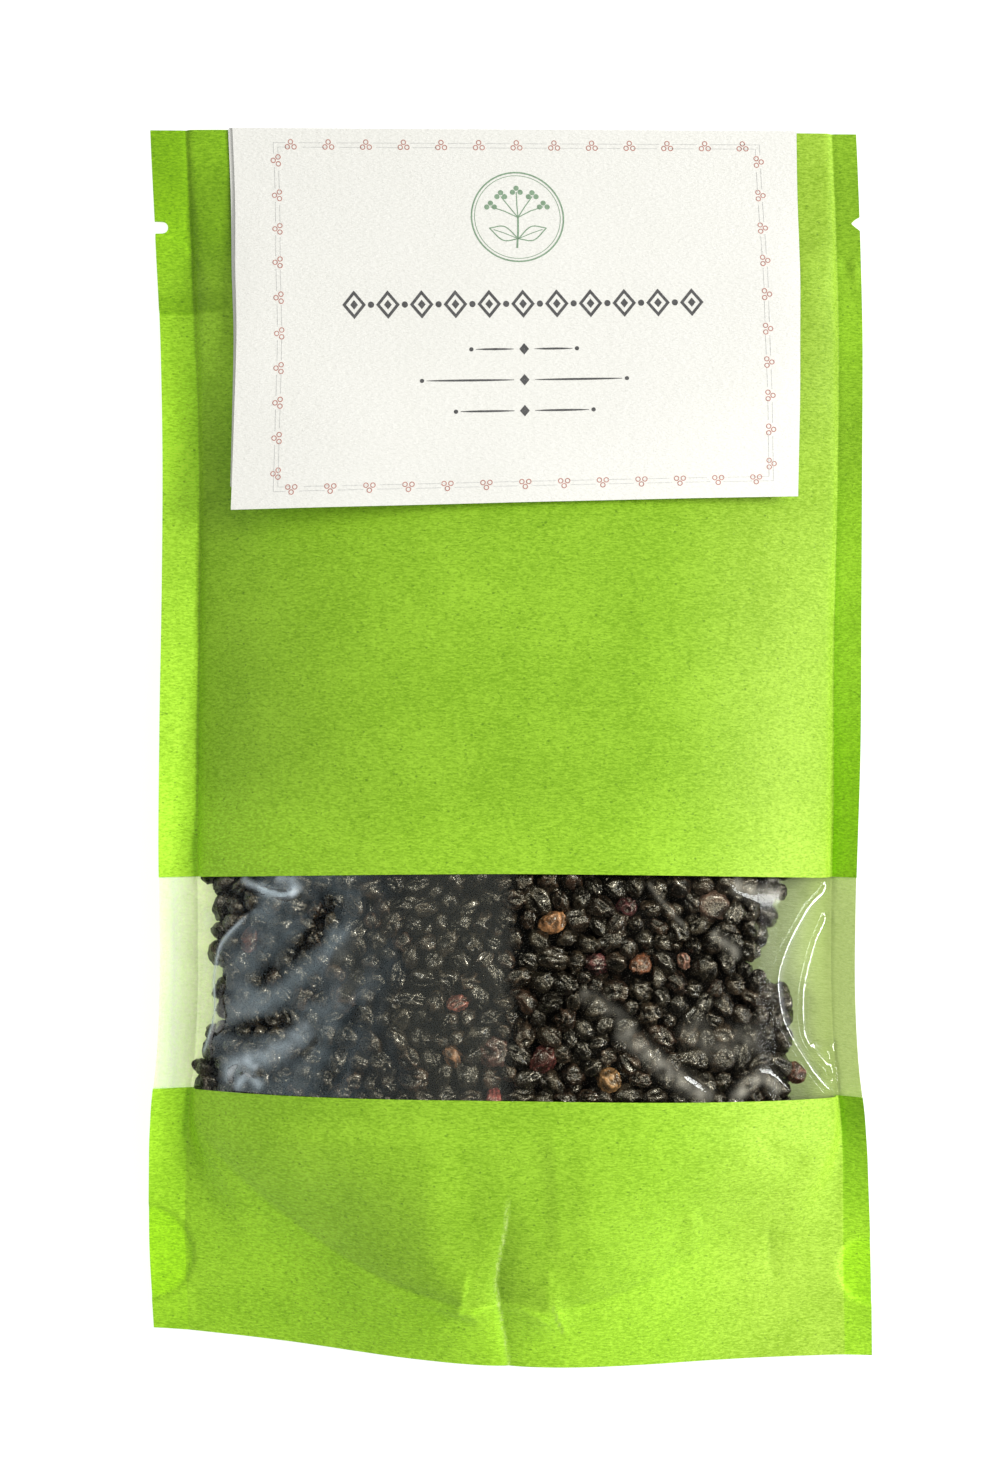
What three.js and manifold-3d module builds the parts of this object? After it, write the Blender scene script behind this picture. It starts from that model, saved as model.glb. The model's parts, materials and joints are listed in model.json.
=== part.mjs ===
// A flat-bottomed paper pouch of dried elderberries, lying on its back: green laminated paper with a clear strip
// window across the front, a folded base, a press-to-close zip inside and a folded paper leaflet on the top.
// Millimetres. +X runs across the pouch, +Y from its base to its top edge, +Z up from the surface that it lies on.
import * as THREE from 'three';
import { mergeVertices } from 'three/addons/utils/BufferGeometryUtils.js';
import Module from 'manifold-3d';

const wasm = await Module();
wasm.setup();

// ---- driving dimensions ---------------------------------------------------------------------------------------
const WIDTH = 140; // flat pouch, edge to edge
const HEIGHT = 240; // base edge to top edge
const SEAL = 7; // welded strip down each side
const SHEET = 0.4; // modelled thickness of the paper and the film
const GAP = 0.3; // clear space kept between neighbouring pieces
const GUSSET = 40; // depth of the fold in the base, from the base edge to its crease
const WINDOW_BOTTOM = 50; // lower edge of the clear strip, above the base edge
const WINDOW_TOP = 92; // upper edge of the clear strip
const OVERLAP = 3; // film hidden behind the paper above and below the window
const NOTCH_DROP = 19; // tear notch, below the top edge
const NOTCH_DEPTH = 2.6;
const NOTCH_HEIGHT = 2.4;
const ZIP_HEIGHT = 206; // zip, above the base edge
const FLANGE = 4.5; // zip ribbon, each side of its middle
const BERRY = 5.2; // a dried berry, across

// ---- how full the pouch is, along its height ------------------------------------------------------------------
// v is the height along the pouch, 0 at the base edge. A profile is a smooth curve through a few stations.
function profile(stations) {
  const curve = new THREE.CubicInterpolant(
    stations.map(([v]) => v),
    stations.map(([, value]) => value),
    1,
  );
  return (v) => curve.evaluate(v)[0];
}
// Space between the two sheets on the centre line.
const fullness = profile([
  [0, 16], [20, 21], [45, 24.5], [70, 25.2], [95, 24], [120, 21], [150, 15.5], [180, 8.5],
  [198, 4.2], [201, 4], [211, 4], [216, 2.9], [226, 0.6], [233, 0], [240, 0],
]);
// Height of the side seals above the table.
const sealRise = profile([
  [0, 1.6], [20, 4], [45, 6.4], [70, 7], [100, 6.2], [140, 4], [180, 1.8], [206, 0.5], [222, 0.1], [232, 0], [240, 0],
]);
const sealHeight = (v) => Math.max(0, sealRise(v));
// Half of the pouch's width: its sides are drawn in where it is full.
const halfWidth = profile([
  [0, 70.5], [18, 70.3], [32, 69.8], [46, 69.1], [56, 67.9], [70, 67.2], [85, 67.3], [100, 67.7], [120, 68.1],
  [147, 68.3], [170, 68.7], [197, 69.4], [216, 69.8], [234, WIDTH / 2], [HEIGHT, WIDTH / 2],
]);
// 2 gives a lens-shaped section, and a high power the flat one that the zip forces on the sheets.
const flatness = profile([[0, 2.3], [50, 2.6], [100, 2.6], [150, 2.4], [180, 3.2], [200, 12], [240, 12]]);
const SEAL_TILT = 1; // the outer edge of a side seal stands this much higher than its inner edge
const FLAT_SHARE = 0.5; // share of the back's half width that lies flat on the table

const mix = THREE.MathUtils.lerp;
const smooth = THREE.MathUtils.smoothstep;
const insideHalf = (v) => halfWidth(v) - SEAL;

// Mid-height of the front sheet above that of the back sheet at a side seal: four layers beside the folded base,
// three where the film laps behind the paper, two above.
function stack(v) {
  const layers = mix(3.3, 2, smooth(v, GUSSET + 1, GUSSET + 6));
  return (SHEET + GAP) * mix(layers, 1, smooth(v, WINDOW_TOP + OVERLAP + 1, WINDOW_TOP + OVERLAP + 12));
}

// Height at a side seal, rising outwards from q = 1 at its inner edge.
function sealLift(q, v) {
  const outwards = Math.max(0, ((q - 1) * insideHalf(v)) / SEAL);
  return sealHeight(v) + SEAL_TILT * outwards * smooth(sealHeight(v), 0, 4);
}

// Mid-surfaces of the two sheets at x across and v up the pouch.
function backHeight(x, v) {
  const q = Math.abs(x) / insideHalf(v);
  return SHEET / 2 + (q > 1 ? sealLift(q, v) : sealHeight(v) * smooth(q, FLAT_SHARE, 1));
}
function frontHeight(x, v) {
  const q = Math.abs(x) / insideHalf(v);
  const crown = q > 1 ? 0 : 1 - q ** flatness(v);
  return SHEET / 2 + sealLift(q, v) + stack(v) + Math.max(0, fullness(v) - sealHeight(v)) * crown;
}
const filmHeight = (x, v) => frontHeight(x, v) - SHEET - GAP;

// The space between the two sheets, with a gap at each.
const clearTop = (x, v) => frontHeight(x, v) - SHEET / 2 - GAP;
const clearBottom = (x, v) => backHeight(x, v) + SHEET / 2 + GAP;

// ---- how the pouch lies, seen from above ----------------------------------------------------------------------
const SHORTENED = 0.994; // the pouch's length on the table over its flat length, for its sheets rise and fall
const sway = profile([[0, 0.6], [20, 0], [92, -0.3], [120, 0.2], [197, 0.6], [216, 0], [240, -1]]);
// The middle of the front is drawn up the pouch by the bulge behind it.
const drawn = profile([[0, -0.3], [50, 1.5], [92, 1.7], [150, 0], [240, 0]]);
const BASE_SKEW = 2.7; // the left end of the base edge lies this much further up than its middle
const TOP_SKEW = 0.6;

function layDown(geometry) {
  const place = geometry.getAttribute('position');
  for (let i = 0; i < place.count; i++) {
    const [x, v] = [place.getX(i), place.getY(i)];
    const skew = BASE_SKEW * Math.max(0, 1 - v / 110) ** 1.8 + TOP_SKEW * smooth(v, 150, HEIGHT);
    const pull = drawn(v) * (1 - Math.min(1, Math.abs(x) / insideHalf(v)) ** 2);
    place.setXY(i, x + sway(v), v * SHORTENED - (skew * x) / (WIDTH / 2) + pull);
  }
  return geometry;
}

// ---- builders -------------------------------------------------------------------------------------------------
// A thin closed body between two surfaces. outer and inner take a and b from 0 to 1 and give a point each; a, b and
// the way from inner to outer are right-handed.
function shell(outer, inner, columns, rows) {
  const box = new THREE.BoxGeometry(1, 1, 1, columns, rows, 1);
  const place = box.getAttribute('position');
  for (let i = 0; i < place.count; i++) {
    const surface = place.getZ(i) > 0 ? outer : inner;
    place.setXYZ(i, ...surface(place.getX(i) + 0.5, place.getY(i) + 0.5));
  }
  return weld(box);
}

// The same geometry with its shared corners merged, so that it is one closed surface.
function weld(geometry) {
  geometry.deleteAttribute('normal');
  geometry.deleteAttribute('uv');
  return mergeVertices(geometry, 1e-4);
}

// x at a share a of the way across, with one column on each side seal and even columns between them.
const COLUMNS = 16;
function across(a, v) {
  const column = a * COLUMNS;
  const inside = insideHalf(v);
  if (column < 1) return mix(-halfWidth(v), -inside, column);
  if (column > COLUMNS - 1) return mix(inside, halfWidth(v), column - COLUMNS + 1);
  return mix(-inside, inside, (column - 1) / (COLUMNS - 2));
}

// Heights at which every sheet has a row of corners, so that neighbouring sheets bend alike.
const ROW = 8;
const edges = [0, GUSSET, WINDOW_BOTTOM - OVERLAP, WINDOW_BOTTOM, WINDOW_TOP, WINDOW_TOP + OVERLAP];
edges.push(ZIP_HEIGHT - FLANGE - 1, ZIP_HEIGHT + FLANGE + 1, HEIGHT);
const rows = [0];
for (let i = 1; i < edges.length; i++) {
  const steps = Math.ceil((edges[i] - edges[i - 1]) / ROW);
  for (let step = 1; step <= steps; step++) rows.push(mix(edges[i - 1], edges[i], step / steps));
}
const rowsBetween = (low, high) => rows.filter((v) => v >= low && v <= high);

// A sheet of the pouch's own width between two heights up the pouch, on one of the mid-surfaces above.
function pouchSheet(height, low, high) {
  const heights = rowsBetween(low, high);
  const last = heights.length - 1;
  const side = (sign) => (a, b) => {
    const v = heights[Math.round(b * last)];
    const x = across(a, v);
    return [x, v, height(x, v) + (sign * SHEET) / 2];
  };
  return shell(side(1), side(-1), COLUMNS, last);
}

function solid(geometry) {
  const vertProperties = geometry.getAttribute('position').array;
  return new wasm.Manifold(new wasm.Mesh({ numProp: 3, vertProperties, triVerts: new Uint32Array(geometry.index.array) }));
}

function geometryOf(body) {
  const { vertProperties, triVerts } = body.getMesh();
  return new THREE.BufferGeometry()
    .setAttribute('position', new THREE.BufferAttribute(vertProperties, 3))
    .setIndex(new THREE.BufferAttribute(triVerts, 1));
}

const materials = {
  paper: new THREE.MeshStandardMaterial({ color: 0x9acd35, roughness: 0.75, metalness: 0 }),
  film: new THREE.MeshStandardMaterial({ color: 0xdfe6da, roughness: 0.12, metalness: 0, transparent: true, opacity: 0.3 }),
  leaflet: new THREE.MeshStandardMaterial({ color: 0xf3f3ec, roughness: 0.85, metalness: 0 }),
  berry: new THREE.MeshStandardMaterial({ color: 0x2a2320, roughness: 0.5, metalness: 0 }),
  zip: new THREE.MeshStandardMaterial({ color: 0xe9ece6, roughness: 0.35, metalness: 0 }),
};

const pouch = new THREE.Group();
function add(name, geometry, material) {
  const mesh = new THREE.Mesh(geometryOf(solid(layDown(geometry)).simplify(0.03)), material);
  mesh.geometry.computeVertexNormals();
  mesh.name = name;
  pouch.add(mesh);
}

// ---- paper panels and film ------------------------------------------------------------------------------------
// Tear notches: a round-ended slot in each edge, cut through both sheets.
function notched(geometry) {
  const v = HEIGHT - NOTCH_DROP;
  const round = NOTCH_HEIGHT / 2;
  const slot = new THREE.Shape()
    .moveTo(NOTCH_DEPTH, -round)
    .lineTo(NOTCH_DEPTH, round)
    .lineTo(round - NOTCH_DEPTH, round)
    .absarc(round - NOTCH_DEPTH, 0, round, Math.PI / 2, (3 * Math.PI) / 2);
  const depth = 20;
  let body = solid(geometry);
  for (const turn of [0, Math.PI]) {
    const cutter = new THREE.ExtrudeGeometry(slot, { depth, bevelEnabled: false, curveSegments: 8 })
      .translate(halfWidth(v), 0, -depth / 2)
      .rotateZ(turn)
      .translate(0, v, 0);
    body = body.subtract(solid(weld(cutter)));
  }
  return geometryOf(body);
}

add('front_panel_upper', notched(pouchSheet(frontHeight, WINDOW_TOP, HEIGHT)), materials.paper);
add('front_panel_lower', pouchSheet(frontHeight, 0, WINDOW_BOTTOM), materials.paper);
add('window_film', pouchSheet(filmHeight, WINDOW_BOTTOM - OVERLAP, WINDOW_TOP + OVERLAP), materials.film);
add('back_panel', notched(pouchSheet(backHeight, 0, HEIGHT)), materials.paper);

// ---- folded base ----------------------------------------------------------------------------------------------
// The base is one sheet folded inwards between the panels. Its section is half an ellipse that is as open as the
// base edge is, and it closes to two touching leaves at the side seals.
const CREASE_PULL = 4; // the crease is drawn towards the base edge where the base is most open
const foldRows = rowsBetween(0, GUSSET).map((v) => Math.acos(v / GUSSET));
foldRows.splice(-1, 0, foldRows.at(-2) / 2);
const foldTurns = [...foldRows, ...foldRows.slice(0, -1).map((turn) => -turn).reverse()];

// The fold's outside moved inwards by inset.
function foldSurface(inset) {
  return (a, b) => {
    const open = (clearTop(across(a, 0), 0) - clearBottom(across(a, 0), 0)) / 2 - 0.1;
    const crease = GUSSET - CREASE_PULL * smooth(open, 0, fullness(0) / 2) - inset;
    const turn = foldTurns[Math.round(b * (foldTurns.length - 1))];
    const v = Math.max(0, crease * Math.cos(turn));
    const x = across(a, v);
    return [x, v, (clearTop(x, v) + clearBottom(x, v)) / 2 + (open - inset) * Math.sin(turn)];
  };
}

// Half-round punches in the fold's side edges, through which the front and back panels are welded together.
const PUNCH_RADIUS = 8.5;
const PUNCH_HEIGHT = 16.5;
let fold = solid(shell(foldSurface(0), foldSurface(SHEET), COLUMNS, foldTurns.length - 1));
for (const side of [-1, 1]) {
  const punch = new THREE.CylinderGeometry(PUNCH_RADIUS, PUNCH_RADIUS, 40, 24)
    .rotateX(Math.PI / 2)
    .translate(side * (WIDTH / 2 + 1.5), PUNCH_HEIGHT, 0);
  fold = fold.subtract(solid(weld(punch)));
}
add('base_gusset', geometryOf(fold), materials.paper);

// ---- zip ------------------------------------------------------------------------------------------------------
// Two interlocking tracks that stop short of the side seals. Their sections are drawn with x along the pouch's
// height and y up from the back sheet, and they are crushed a little where the pouch thins towards the seals.
const RIBBON = 0.4;
const ZIP_COLUMNS = COLUMNS - 4;
const zipRoom = (x, v) => clearTop(x, v) - clearBottom(x, v);
const ZIP_ROOM = zipRoom(0, ZIP_HEIGHT);

function zipTrack(section) {
  const bar = new THREE.ExtrudeGeometry(section, { depth: ZIP_COLUMNS, steps: ZIP_COLUMNS, bevelEnabled: false, curveSegments: 6 });
  const place = bar.getAttribute('position');
  for (let i = 0; i < place.count; i++) {
    const v = ZIP_HEIGHT + place.getX(i);
    const x = across((place.getZ(i) + 2) / COLUMNS, v);
    place.setXYZ(i, x, v, clearBottom(x, v) + (place.getY(i) * zipRoom(x, v)) / ZIP_ROOM);
  }
  return weld(bar);
}

const WALL = 0.5; // side of the groove
const BEAD = 0.7; // radius of the rib's rounded edge
const STEM = 0.3; // half thickness of the rib behind it
const GROOVE = BEAD + GAP; // half width of the groove inside
const GROOVE_TOP = RIBBON + 2 * BEAD + GAP;
const lip = 0.25; // the groove's rim overhangs the bead by this much
const groove = new THREE.Shape()
  .moveTo(-FLANGE, 0)
  .lineTo(FLANGE, 0)
  .lineTo(FLANGE, RIBBON)
  .lineTo(GROOVE + WALL, RIBBON)
  .lineTo(GROOVE + WALL, GROOVE_TOP)
  .lineTo(GROOVE - lip, GROOVE_TOP)
  .lineTo(GROOVE, GROOVE_TOP - 0.5)
  .lineTo(GROOVE, RIBBON)
  .lineTo(-GROOVE, RIBBON)
  .lineTo(-GROOVE, GROOVE_TOP - 0.5)
  .lineTo(lip - GROOVE, GROOVE_TOP)
  .lineTo(-GROOVE - WALL, GROOVE_TOP)
  .lineTo(-GROOVE - WALL, RIBBON)
  .lineTo(-FLANGE, RIBBON);
add('zip_groove_track', zipTrack(groove), materials.zip);

const middle = RIBBON + GAP + BEAD;
const lean = Math.asin(STEM / BEAD);
const rib = new THREE.Shape()
  .moveTo(-FLANGE, ZIP_ROOM)
  .lineTo(-FLANGE, ZIP_ROOM - RIBBON)
  .lineTo(-STEM, ZIP_ROOM - RIBBON)
  .absarc(0, middle, BEAD, Math.PI / 2 + lean, (5 * Math.PI) / 2 - lean)
  .lineTo(STEM, ZIP_ROOM - RIBBON)
  .lineTo(FLANGE, ZIP_ROOM - RIBBON)
  .lineTo(FLANGE, ZIP_ROOM);
add('zip_rib_track', zipTrack(rib), materials.zip);

// ---- folded leaflet -------------------------------------------------------------------------------------------
// One sheet of paper folded at the pouch's top edge, with both leaves on the front of the pouch. It bridges the
// panel's rounded shoulders, and its front leaf springs open at the lower left corner.
const LEAFLET_LEFT = -53.5;
const LEAFLET_RIGHT = 58;
const FRONT_LEAF = 73.8; // length of each leaf, from the pouch's top edge
const REAR_LEAF = 72;
const ASKEW = 1.045; // the front leaf is this much longer at the left, because the fold is not square
const BEND = 2.6; // its lower edge looks this much shorter, because it bends over the bulge
const PEEP = 0.9; // the rear leaf stands out this far at the left
const LEAF = 0.4; // modelled thickness
const SPRING = 4; // opening at the lower left corner
const FOLD_STEPS = 4;

// The panel's height under the leaflet, with the dip towards each side bridged in part.
function leafletFloor(x, v) {
  const bridged = (x < 0 ? 0.75 : 0.4) * smooth(HEIGHT - v, 0, 60);
  return mix(frontHeight(x, v), frontHeight(0, v), bridged) + SHEET / 2 + GAP + 0.2;
}

const rearRows = [HEIGHT - REAR_LEAF, ...rowsBetween(HEIGHT - REAR_LEAF + 2, HEIGHT)];
const frontRows = [HEIGHT - FRONT_LEAF, ...rearRows.slice(1)];
const leafletRows = frontRows.length + rearRows.length - 2 + FOLD_STEPS;
function leafletSurface(outwards) {
  return (a, b) => {
    const row = Math.round(b * leafletRows);
    const afterFold = row - (frontRows.length - 1) - FOLD_STEPS;
    const turn = (Math.PI / FOLD_STEPS) * THREE.MathUtils.clamp(row - frontRows.length + 1, 0, FOLD_STEPS);
    const down = HEIGHT - (afterFold > 0 ? rearRows.at(-1 - afterFold) : frontRows[Math.min(row, frontRows.length - 1)]);
    const v = HEIGHT - down * (afterFold > 0 ? 1 : mix(ASKEW, 1, a));
    const right = LEAFLET_RIGHT - (BEND * down) / FRONT_LEAF;
    const x = mix(LEAFLET_LEFT, right, a) - (PEEP * (1 - Math.cos(turn))) / 2;
    const spread = LEAF + GAP + SPRING * smooth(down, 8, FRONT_LEAF) * (1 - a) ** 2;
    const floor = leafletFloor(x, v) + (LEAF + spread) / 2;
    const reach = (spread + outwards * LEAF) / 2;
    return [x, v + reach * Math.sin(turn), floor + reach * Math.cos(turn)];
  };
}
add('leaflet', shell(leafletSurface(1), leafletSurface(-1), COLUMNS - 2, leafletRows), materials.leaflet);

// ---- dried berries --------------------------------------------------------------------------------------------
// One heap that fills the pouch round the folded base. Behind the window it is covered with berries, sunk into a
// core that is smooth only where paper hides it.
const HEAP_BOTTOM = 10;
const HEAP_TOP = 128;
const REST = 0.35; // clear space between the berries and the film
const HEAP_ROWS = 18;
const HEAP_COLUMNS = 20;
const CORE_DEPTH = BERRY * 0.5; // core below the film
const roof = (x, v) => filmHeight(x, v) - SHEET / 2 - REST;
// Half width of the heap: it slips back from the right-hand side behind the middle of the window.
const heapEdge = (v, side) => insideHalf(v) - 3.6 - (side > 0 ? 7 * Math.exp(-(((v - 76) / 11) ** 2)) : 0);

function heapSurface(sign) {
  return (a, b) => {
    const v = mix(HEAP_BOTTOM, HEAP_TOP, b);
    const x = mix(-heapEdge(v, -1), heapEdge(v, 1), a);
    const floor = clearBottom(x, v) + REST;
    const core = roof(x, v) - CORE_DEPTH * smooth(roof(x, v) - floor, 1, 7);
    const slope = mix(core, floor, smooth(v, HEAP_TOP - 26, HEAP_TOP + 4));
    return [x, v, sign > 0 ? Math.max(slope, floor + 0.8) : floor];
  };
}

// The space that the folded base takes, with a millimetre of clearance, open through the base edge.
const foldRoom = shell(foldSurface(-1), (a, b) => {
  const [x, , z] = foldSurface(-1)(a, b);
  return [x, -1, z];
}, COLUMNS, foldTurns.length - 1);

// A repeatable stream of numbers between two limits.
let state = 7;
function between(low, high) {
  state = (state * 1664525 + 1013904223) % 4294967296;
  return mix(low, high, state / 4294967296);
}

function berryAt(x, v, radius) {
  const slope = (roof(x + 1, v) - roof(x - 1, v)) / 2;
  return new THREE.IcosahedronGeometry(radius, 0)
    .scale(1, between(0.8, 1), between(0.85, 1))
    .rotateX(between(0, 6))
    .rotateZ(between(0, 6))
    .translate(x, v, roof(x, v) - radius * Math.hypot(1, slope) - between(0, 0.4));
}

const berries = [];
const PITCH = BERRY * 1.06;
const ROW_PITCH = PITCH * 0.88;
const firstRow = WINDOW_BOTTOM - BERRY * 0.4;
for (let row = 0; firstRow + row * ROW_PITCH < WINDOW_TOP + BERRY * 0.6; row++) {
  for (let x = -60 + (row % 2 ? PITCH / 2 : 0); x < 60; x += PITCH) {
    const place = [x + between(-0.3, 0.3), firstRow + row * ROW_PITCH + between(-0.3, 0.3)];
    const radius = (BERRY / 2) * between(0.9, 1.02);
    const room = roof(...place) - clearBottom(...place) - REST;
    const edge = heapEdge(place[1], Math.sign(x));
    if (room > 2 * radius && Math.abs(place[0]) < edge) berries.push(solid(weld(berryAt(...place, radius))));
  }
}
const core = solid(shell(heapSurface(1), heapSurface(-1), HEAP_COLUMNS, HEAP_ROWS));
const heap = wasm.Manifold.union([core, ...berries]).subtract(solid(foldRoom));
add('dried_elderberries', geometryOf(heap.decompose().sort((p, q) => q.volume() - p.volume())[0]), materials.berry);

// ---- the origin is under the middle of the whole pouch --------------------------------------------------------
const bounds = new THREE.Box3().setFromObject(pouch);
const centre = bounds.getCenter(new THREE.Vector3());
pouch.position.set(-centre.x, -centre.y, -bounds.min.z);

export default pouch;
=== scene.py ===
"""A filled paper pouch of dried elderberries, lying on its back: green laminated paper, a clear strip window
with the berries behind it, a folded base, a zip and a folded leaflet. Lengths are millimetres until a mesh is
made, and then metres. x runs across the pouch and v up it from its base edge."""

import json
import math

import bmesh
import bpy
import numpy as np
from mathutils import Euler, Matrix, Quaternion, Vector

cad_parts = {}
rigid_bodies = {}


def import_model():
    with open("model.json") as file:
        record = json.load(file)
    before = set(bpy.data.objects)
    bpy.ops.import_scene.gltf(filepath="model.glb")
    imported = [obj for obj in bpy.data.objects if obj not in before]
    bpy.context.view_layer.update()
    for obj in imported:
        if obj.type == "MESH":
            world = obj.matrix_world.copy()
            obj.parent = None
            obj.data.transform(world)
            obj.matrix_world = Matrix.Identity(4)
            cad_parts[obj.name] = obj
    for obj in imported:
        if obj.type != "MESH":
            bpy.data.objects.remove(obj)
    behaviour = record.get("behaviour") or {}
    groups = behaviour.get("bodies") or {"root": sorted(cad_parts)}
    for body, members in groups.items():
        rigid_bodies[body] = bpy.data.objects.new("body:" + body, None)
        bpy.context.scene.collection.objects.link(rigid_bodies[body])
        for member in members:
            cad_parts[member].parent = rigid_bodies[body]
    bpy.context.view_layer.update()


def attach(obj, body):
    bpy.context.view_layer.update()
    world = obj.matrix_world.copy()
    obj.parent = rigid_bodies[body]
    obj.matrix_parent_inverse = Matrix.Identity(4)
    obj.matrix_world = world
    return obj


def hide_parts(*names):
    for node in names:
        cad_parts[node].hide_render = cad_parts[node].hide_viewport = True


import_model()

# ---- the pouch's form, as in the CAD --------------------
WIDTH, HEIGHT, SEAL = 140.0, 240.0, 7.0
SHEET, GAP = 0.4, 0.3
GUSSET = 40.0  # depth of the folded base
WINDOW_BOTTOM, WINDOW_TOP, OVERLAP = 50.0, 92.0, 3.0
ZIP_HEIGHT = 206.0
ORIGIN = (-0.05, -118.425)  # where x = 0, v = 0 lies in the frame
MM = 0.001


def mix(a, b, t):
    return a + (b - a) * t


def smooth(value, low, high):
    """0 below low, 1 above high, and a soft step between them."""
    t = np.clip((np.asarray(value, float) - low) / (high - low), 0, 1)
    return t * t * (3 - 2 * t)


def span(value, rise, full, fall, end):
    """1 from full to fall, fading out to 0 at rise and at end."""
    return smooth(value, rise, full) * (1 - smooth(value, fall, end))


def bell(d, width):
    """1 at 0, fading out on both sides over about the width."""
    return np.exp(-((d / width) ** 2))


def profile(*stations):
    """A smooth curve through a few stations, the same cubic as the CAD's."""
    at, value = np.array(stations, float).T
    last = len(at) - 1

    def evaluate(v):
        v = np.clip(v, at[0], at[-1])
        k = np.clip(np.searchsorted(at, v, side="right"), 1, last)
        before, after = np.maximum(k - 2, 0), np.minimum(k + 1, last)
        t0, t1, y0, y1 = at[k - 1], at[k], value[k - 1], value[k]
        half = (t1 - t0) / 2
        wp = half / (t0 - np.where(k > 1, at[before], t1))
        wn = half / (np.where(k < last, at[after], t0) - t1)
        p = (v - t0) / (t1 - t0)
        pp, ppp = p**2, p**3
        return (
            (-wp * ppp + 2 * wp * pp - wp * p) * np.where(k > 1, value[before], y1)
            + ((1 + wp) * ppp + (-1.5 - 2 * wp) * pp + (-0.5 + wp) * p + 1) * y0
            + ((-1 - wn) * ppp + (1.5 + wn) * pp + 0.5 * p) * y1
            + (wn * ppp - wn * pp) * np.where(k < last, value[after], y0)
        )

    return evaluate


fullness = profile(
    (0, 16), (20, 21), (45, 24.5), (70, 25.2), (95, 24), (120, 21), (150, 15.5), (180, 8.5),
    (198, 4.2), (201, 4), (211, 4), (216, 2.9), (226, 0.6), (233, 0), (240, 0),
)
seal_rise = profile(
    (0, 1.6), (20, 4), (45, 6.4), (70, 7), (100, 6.2), (140, 4), (180, 1.8), (206, 0.5), (222, 0.1),
    (232, 0), (240, 0),
)
half_width = profile(
    (0, 70.5), (18, 70.3), (32, 69.8), (46, 69.1), (56, 67.9), (70, 67.2), (85, 67.3), (100, 67.7),
    (120, 68.1), (147, 68.3), (170, 68.7), (197, 69.4), (216, 69.8), (234, 70), (240, 70),
)
flatness = profile((0, 2.3), (50, 2.6), (100, 2.6), (150, 2.4), (180, 3.2), (200, 12), (240, 12))
sway = profile((0, 0.6), (20, 0), (92, -0.3), (120, 0.2), (197, 0.6), (216, 0), (240, -1))
drawn = profile((0, -0.3), (50, 1.5), (92, 1.7), (150, 0), (240, 0))
# The outer edge of a side seal stands this much higher than its inner edge: it curls up on a full pouch.
seal_tilt = profile((0, 1.1), (30, 1.7), (60, 2.6), (120, 2.6), (160, 2.1), (200, 1.0), (240, 1.0))
# The right seal is narrower to the eye: the full pouch swells over its inner edge by this much.
swelling = profile((0, 1.6), (20, 1.8), (45, 2.7), (100, 2.6), (125, 2.1), (165, 2.4), (240, 2.2))


def inside_half(v):
    return half_width(v) - SEAL


def inner_line(x, v):
    """How far from the middle the side seal begins on x's side."""
    return inside_half(v) + np.where(np.asarray(x) > 0, swelling(v), 0)


def share(x, v):
    """How far across the panel a point lies: 0 in the middle, and 1 where the side seal begins."""
    return np.abs(x) / inner_line(x, v)


def seal_height(v):
    return np.maximum(0, seal_rise(v))


def seal_lift(x, v):
    inner = inner_line(x, v)
    outwards = np.maximum(0, (np.abs(x) - inner) / (half_width(v) - inner))
    return seal_height(v) + seal_tilt(v) * outwards * smooth(seal_height(v), 0, 4)


def back_outer(x, v):
    q = share(x, v)
    return np.where(q > 1, seal_lift(x, v), seal_height(v) * smooth(q, 0.5, 1))


def cad_front_outer(x, v):
    q = share(x, v)
    layers = mix(mix(3.3, 2, smooth(v, 41, 46)), 1, smooth(v, 96, 107))
    crown = np.where(q > 1, 0, 1 - np.minimum(q, 1) ** flatness(v))
    filling = np.maximum(0, fullness(v) - seal_height(v)) * crown
    return SHEET + seal_lift(x, v) + (SHEET + GAP) * layers + filling


def lay(x, v):
    """Where a point of the flat pouch lies, seen from above."""
    skew = 2.7 * np.maximum(0, 1 - v / 110) ** 1.8 + 0.6 * smooth(v, 150, HEIGHT)
    pull = drawn(v) * (1 - np.minimum(1, np.abs(x) / inside_half(v)) ** 2)
    return x + sway(v) + ORIGIN[0], v * 0.994 - skew * x / (WIDTH / 2) + pull + ORIGIN[1]


def placed(x, v, z):
    """Points in the frame, in metres, from places on the flat pouch and heights over the table."""
    return np.stack([*lay(x, v), z], -1).reshape(-1, 3) * MM


# ---- relief --------------------
def curve_points(points, steps=10):
    """A smooth line through points."""
    p = np.array(points, float)
    p = np.vstack([2 * p[0] - p[1], p, 2 * p[-1] - p[-2]])
    t = (np.arange(steps) / steps)[:, None]
    parts = [
        0.5 * (2 * b + (c - a) * t + (2 * a - 5 * b + 4 * c - d) * t**2 + (3 * b - a - 3 * c + d) * t**3)
        for a, b, c, d in zip(p, p[1:], p[2:], p[3:])
    ]
    return np.vstack([*parts, p[-2]])


def distance(x, v, points):
    """Signed distance to a line through points (positive on its left), and the share of the way along it."""
    line = curve_points(points)
    best = np.full(x.shape, 1e9)
    side = np.ones(x.shape)
    along = np.zeros(x.shape)
    for i, (p, q) in enumerate(zip(line[:-1], line[1:])):
        d = q - p
        t = np.clip(((x - p[0]) * d[0] + (v - p[1]) * d[1]) / (d @ d + 1e-12), 0, 1)
        gap = np.hypot(x - p[0] - t * d[0], v - p[1] - t * d[1])
        near = gap < best
        best = np.where(near, gap, best)
        side = np.where(near, np.sign(d[0] * (v - p[1]) - d[1] * (x - p[0])), side)
        along = np.where(near, (i + t) / (len(line) - 1), along)
    return best * side, along


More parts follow.
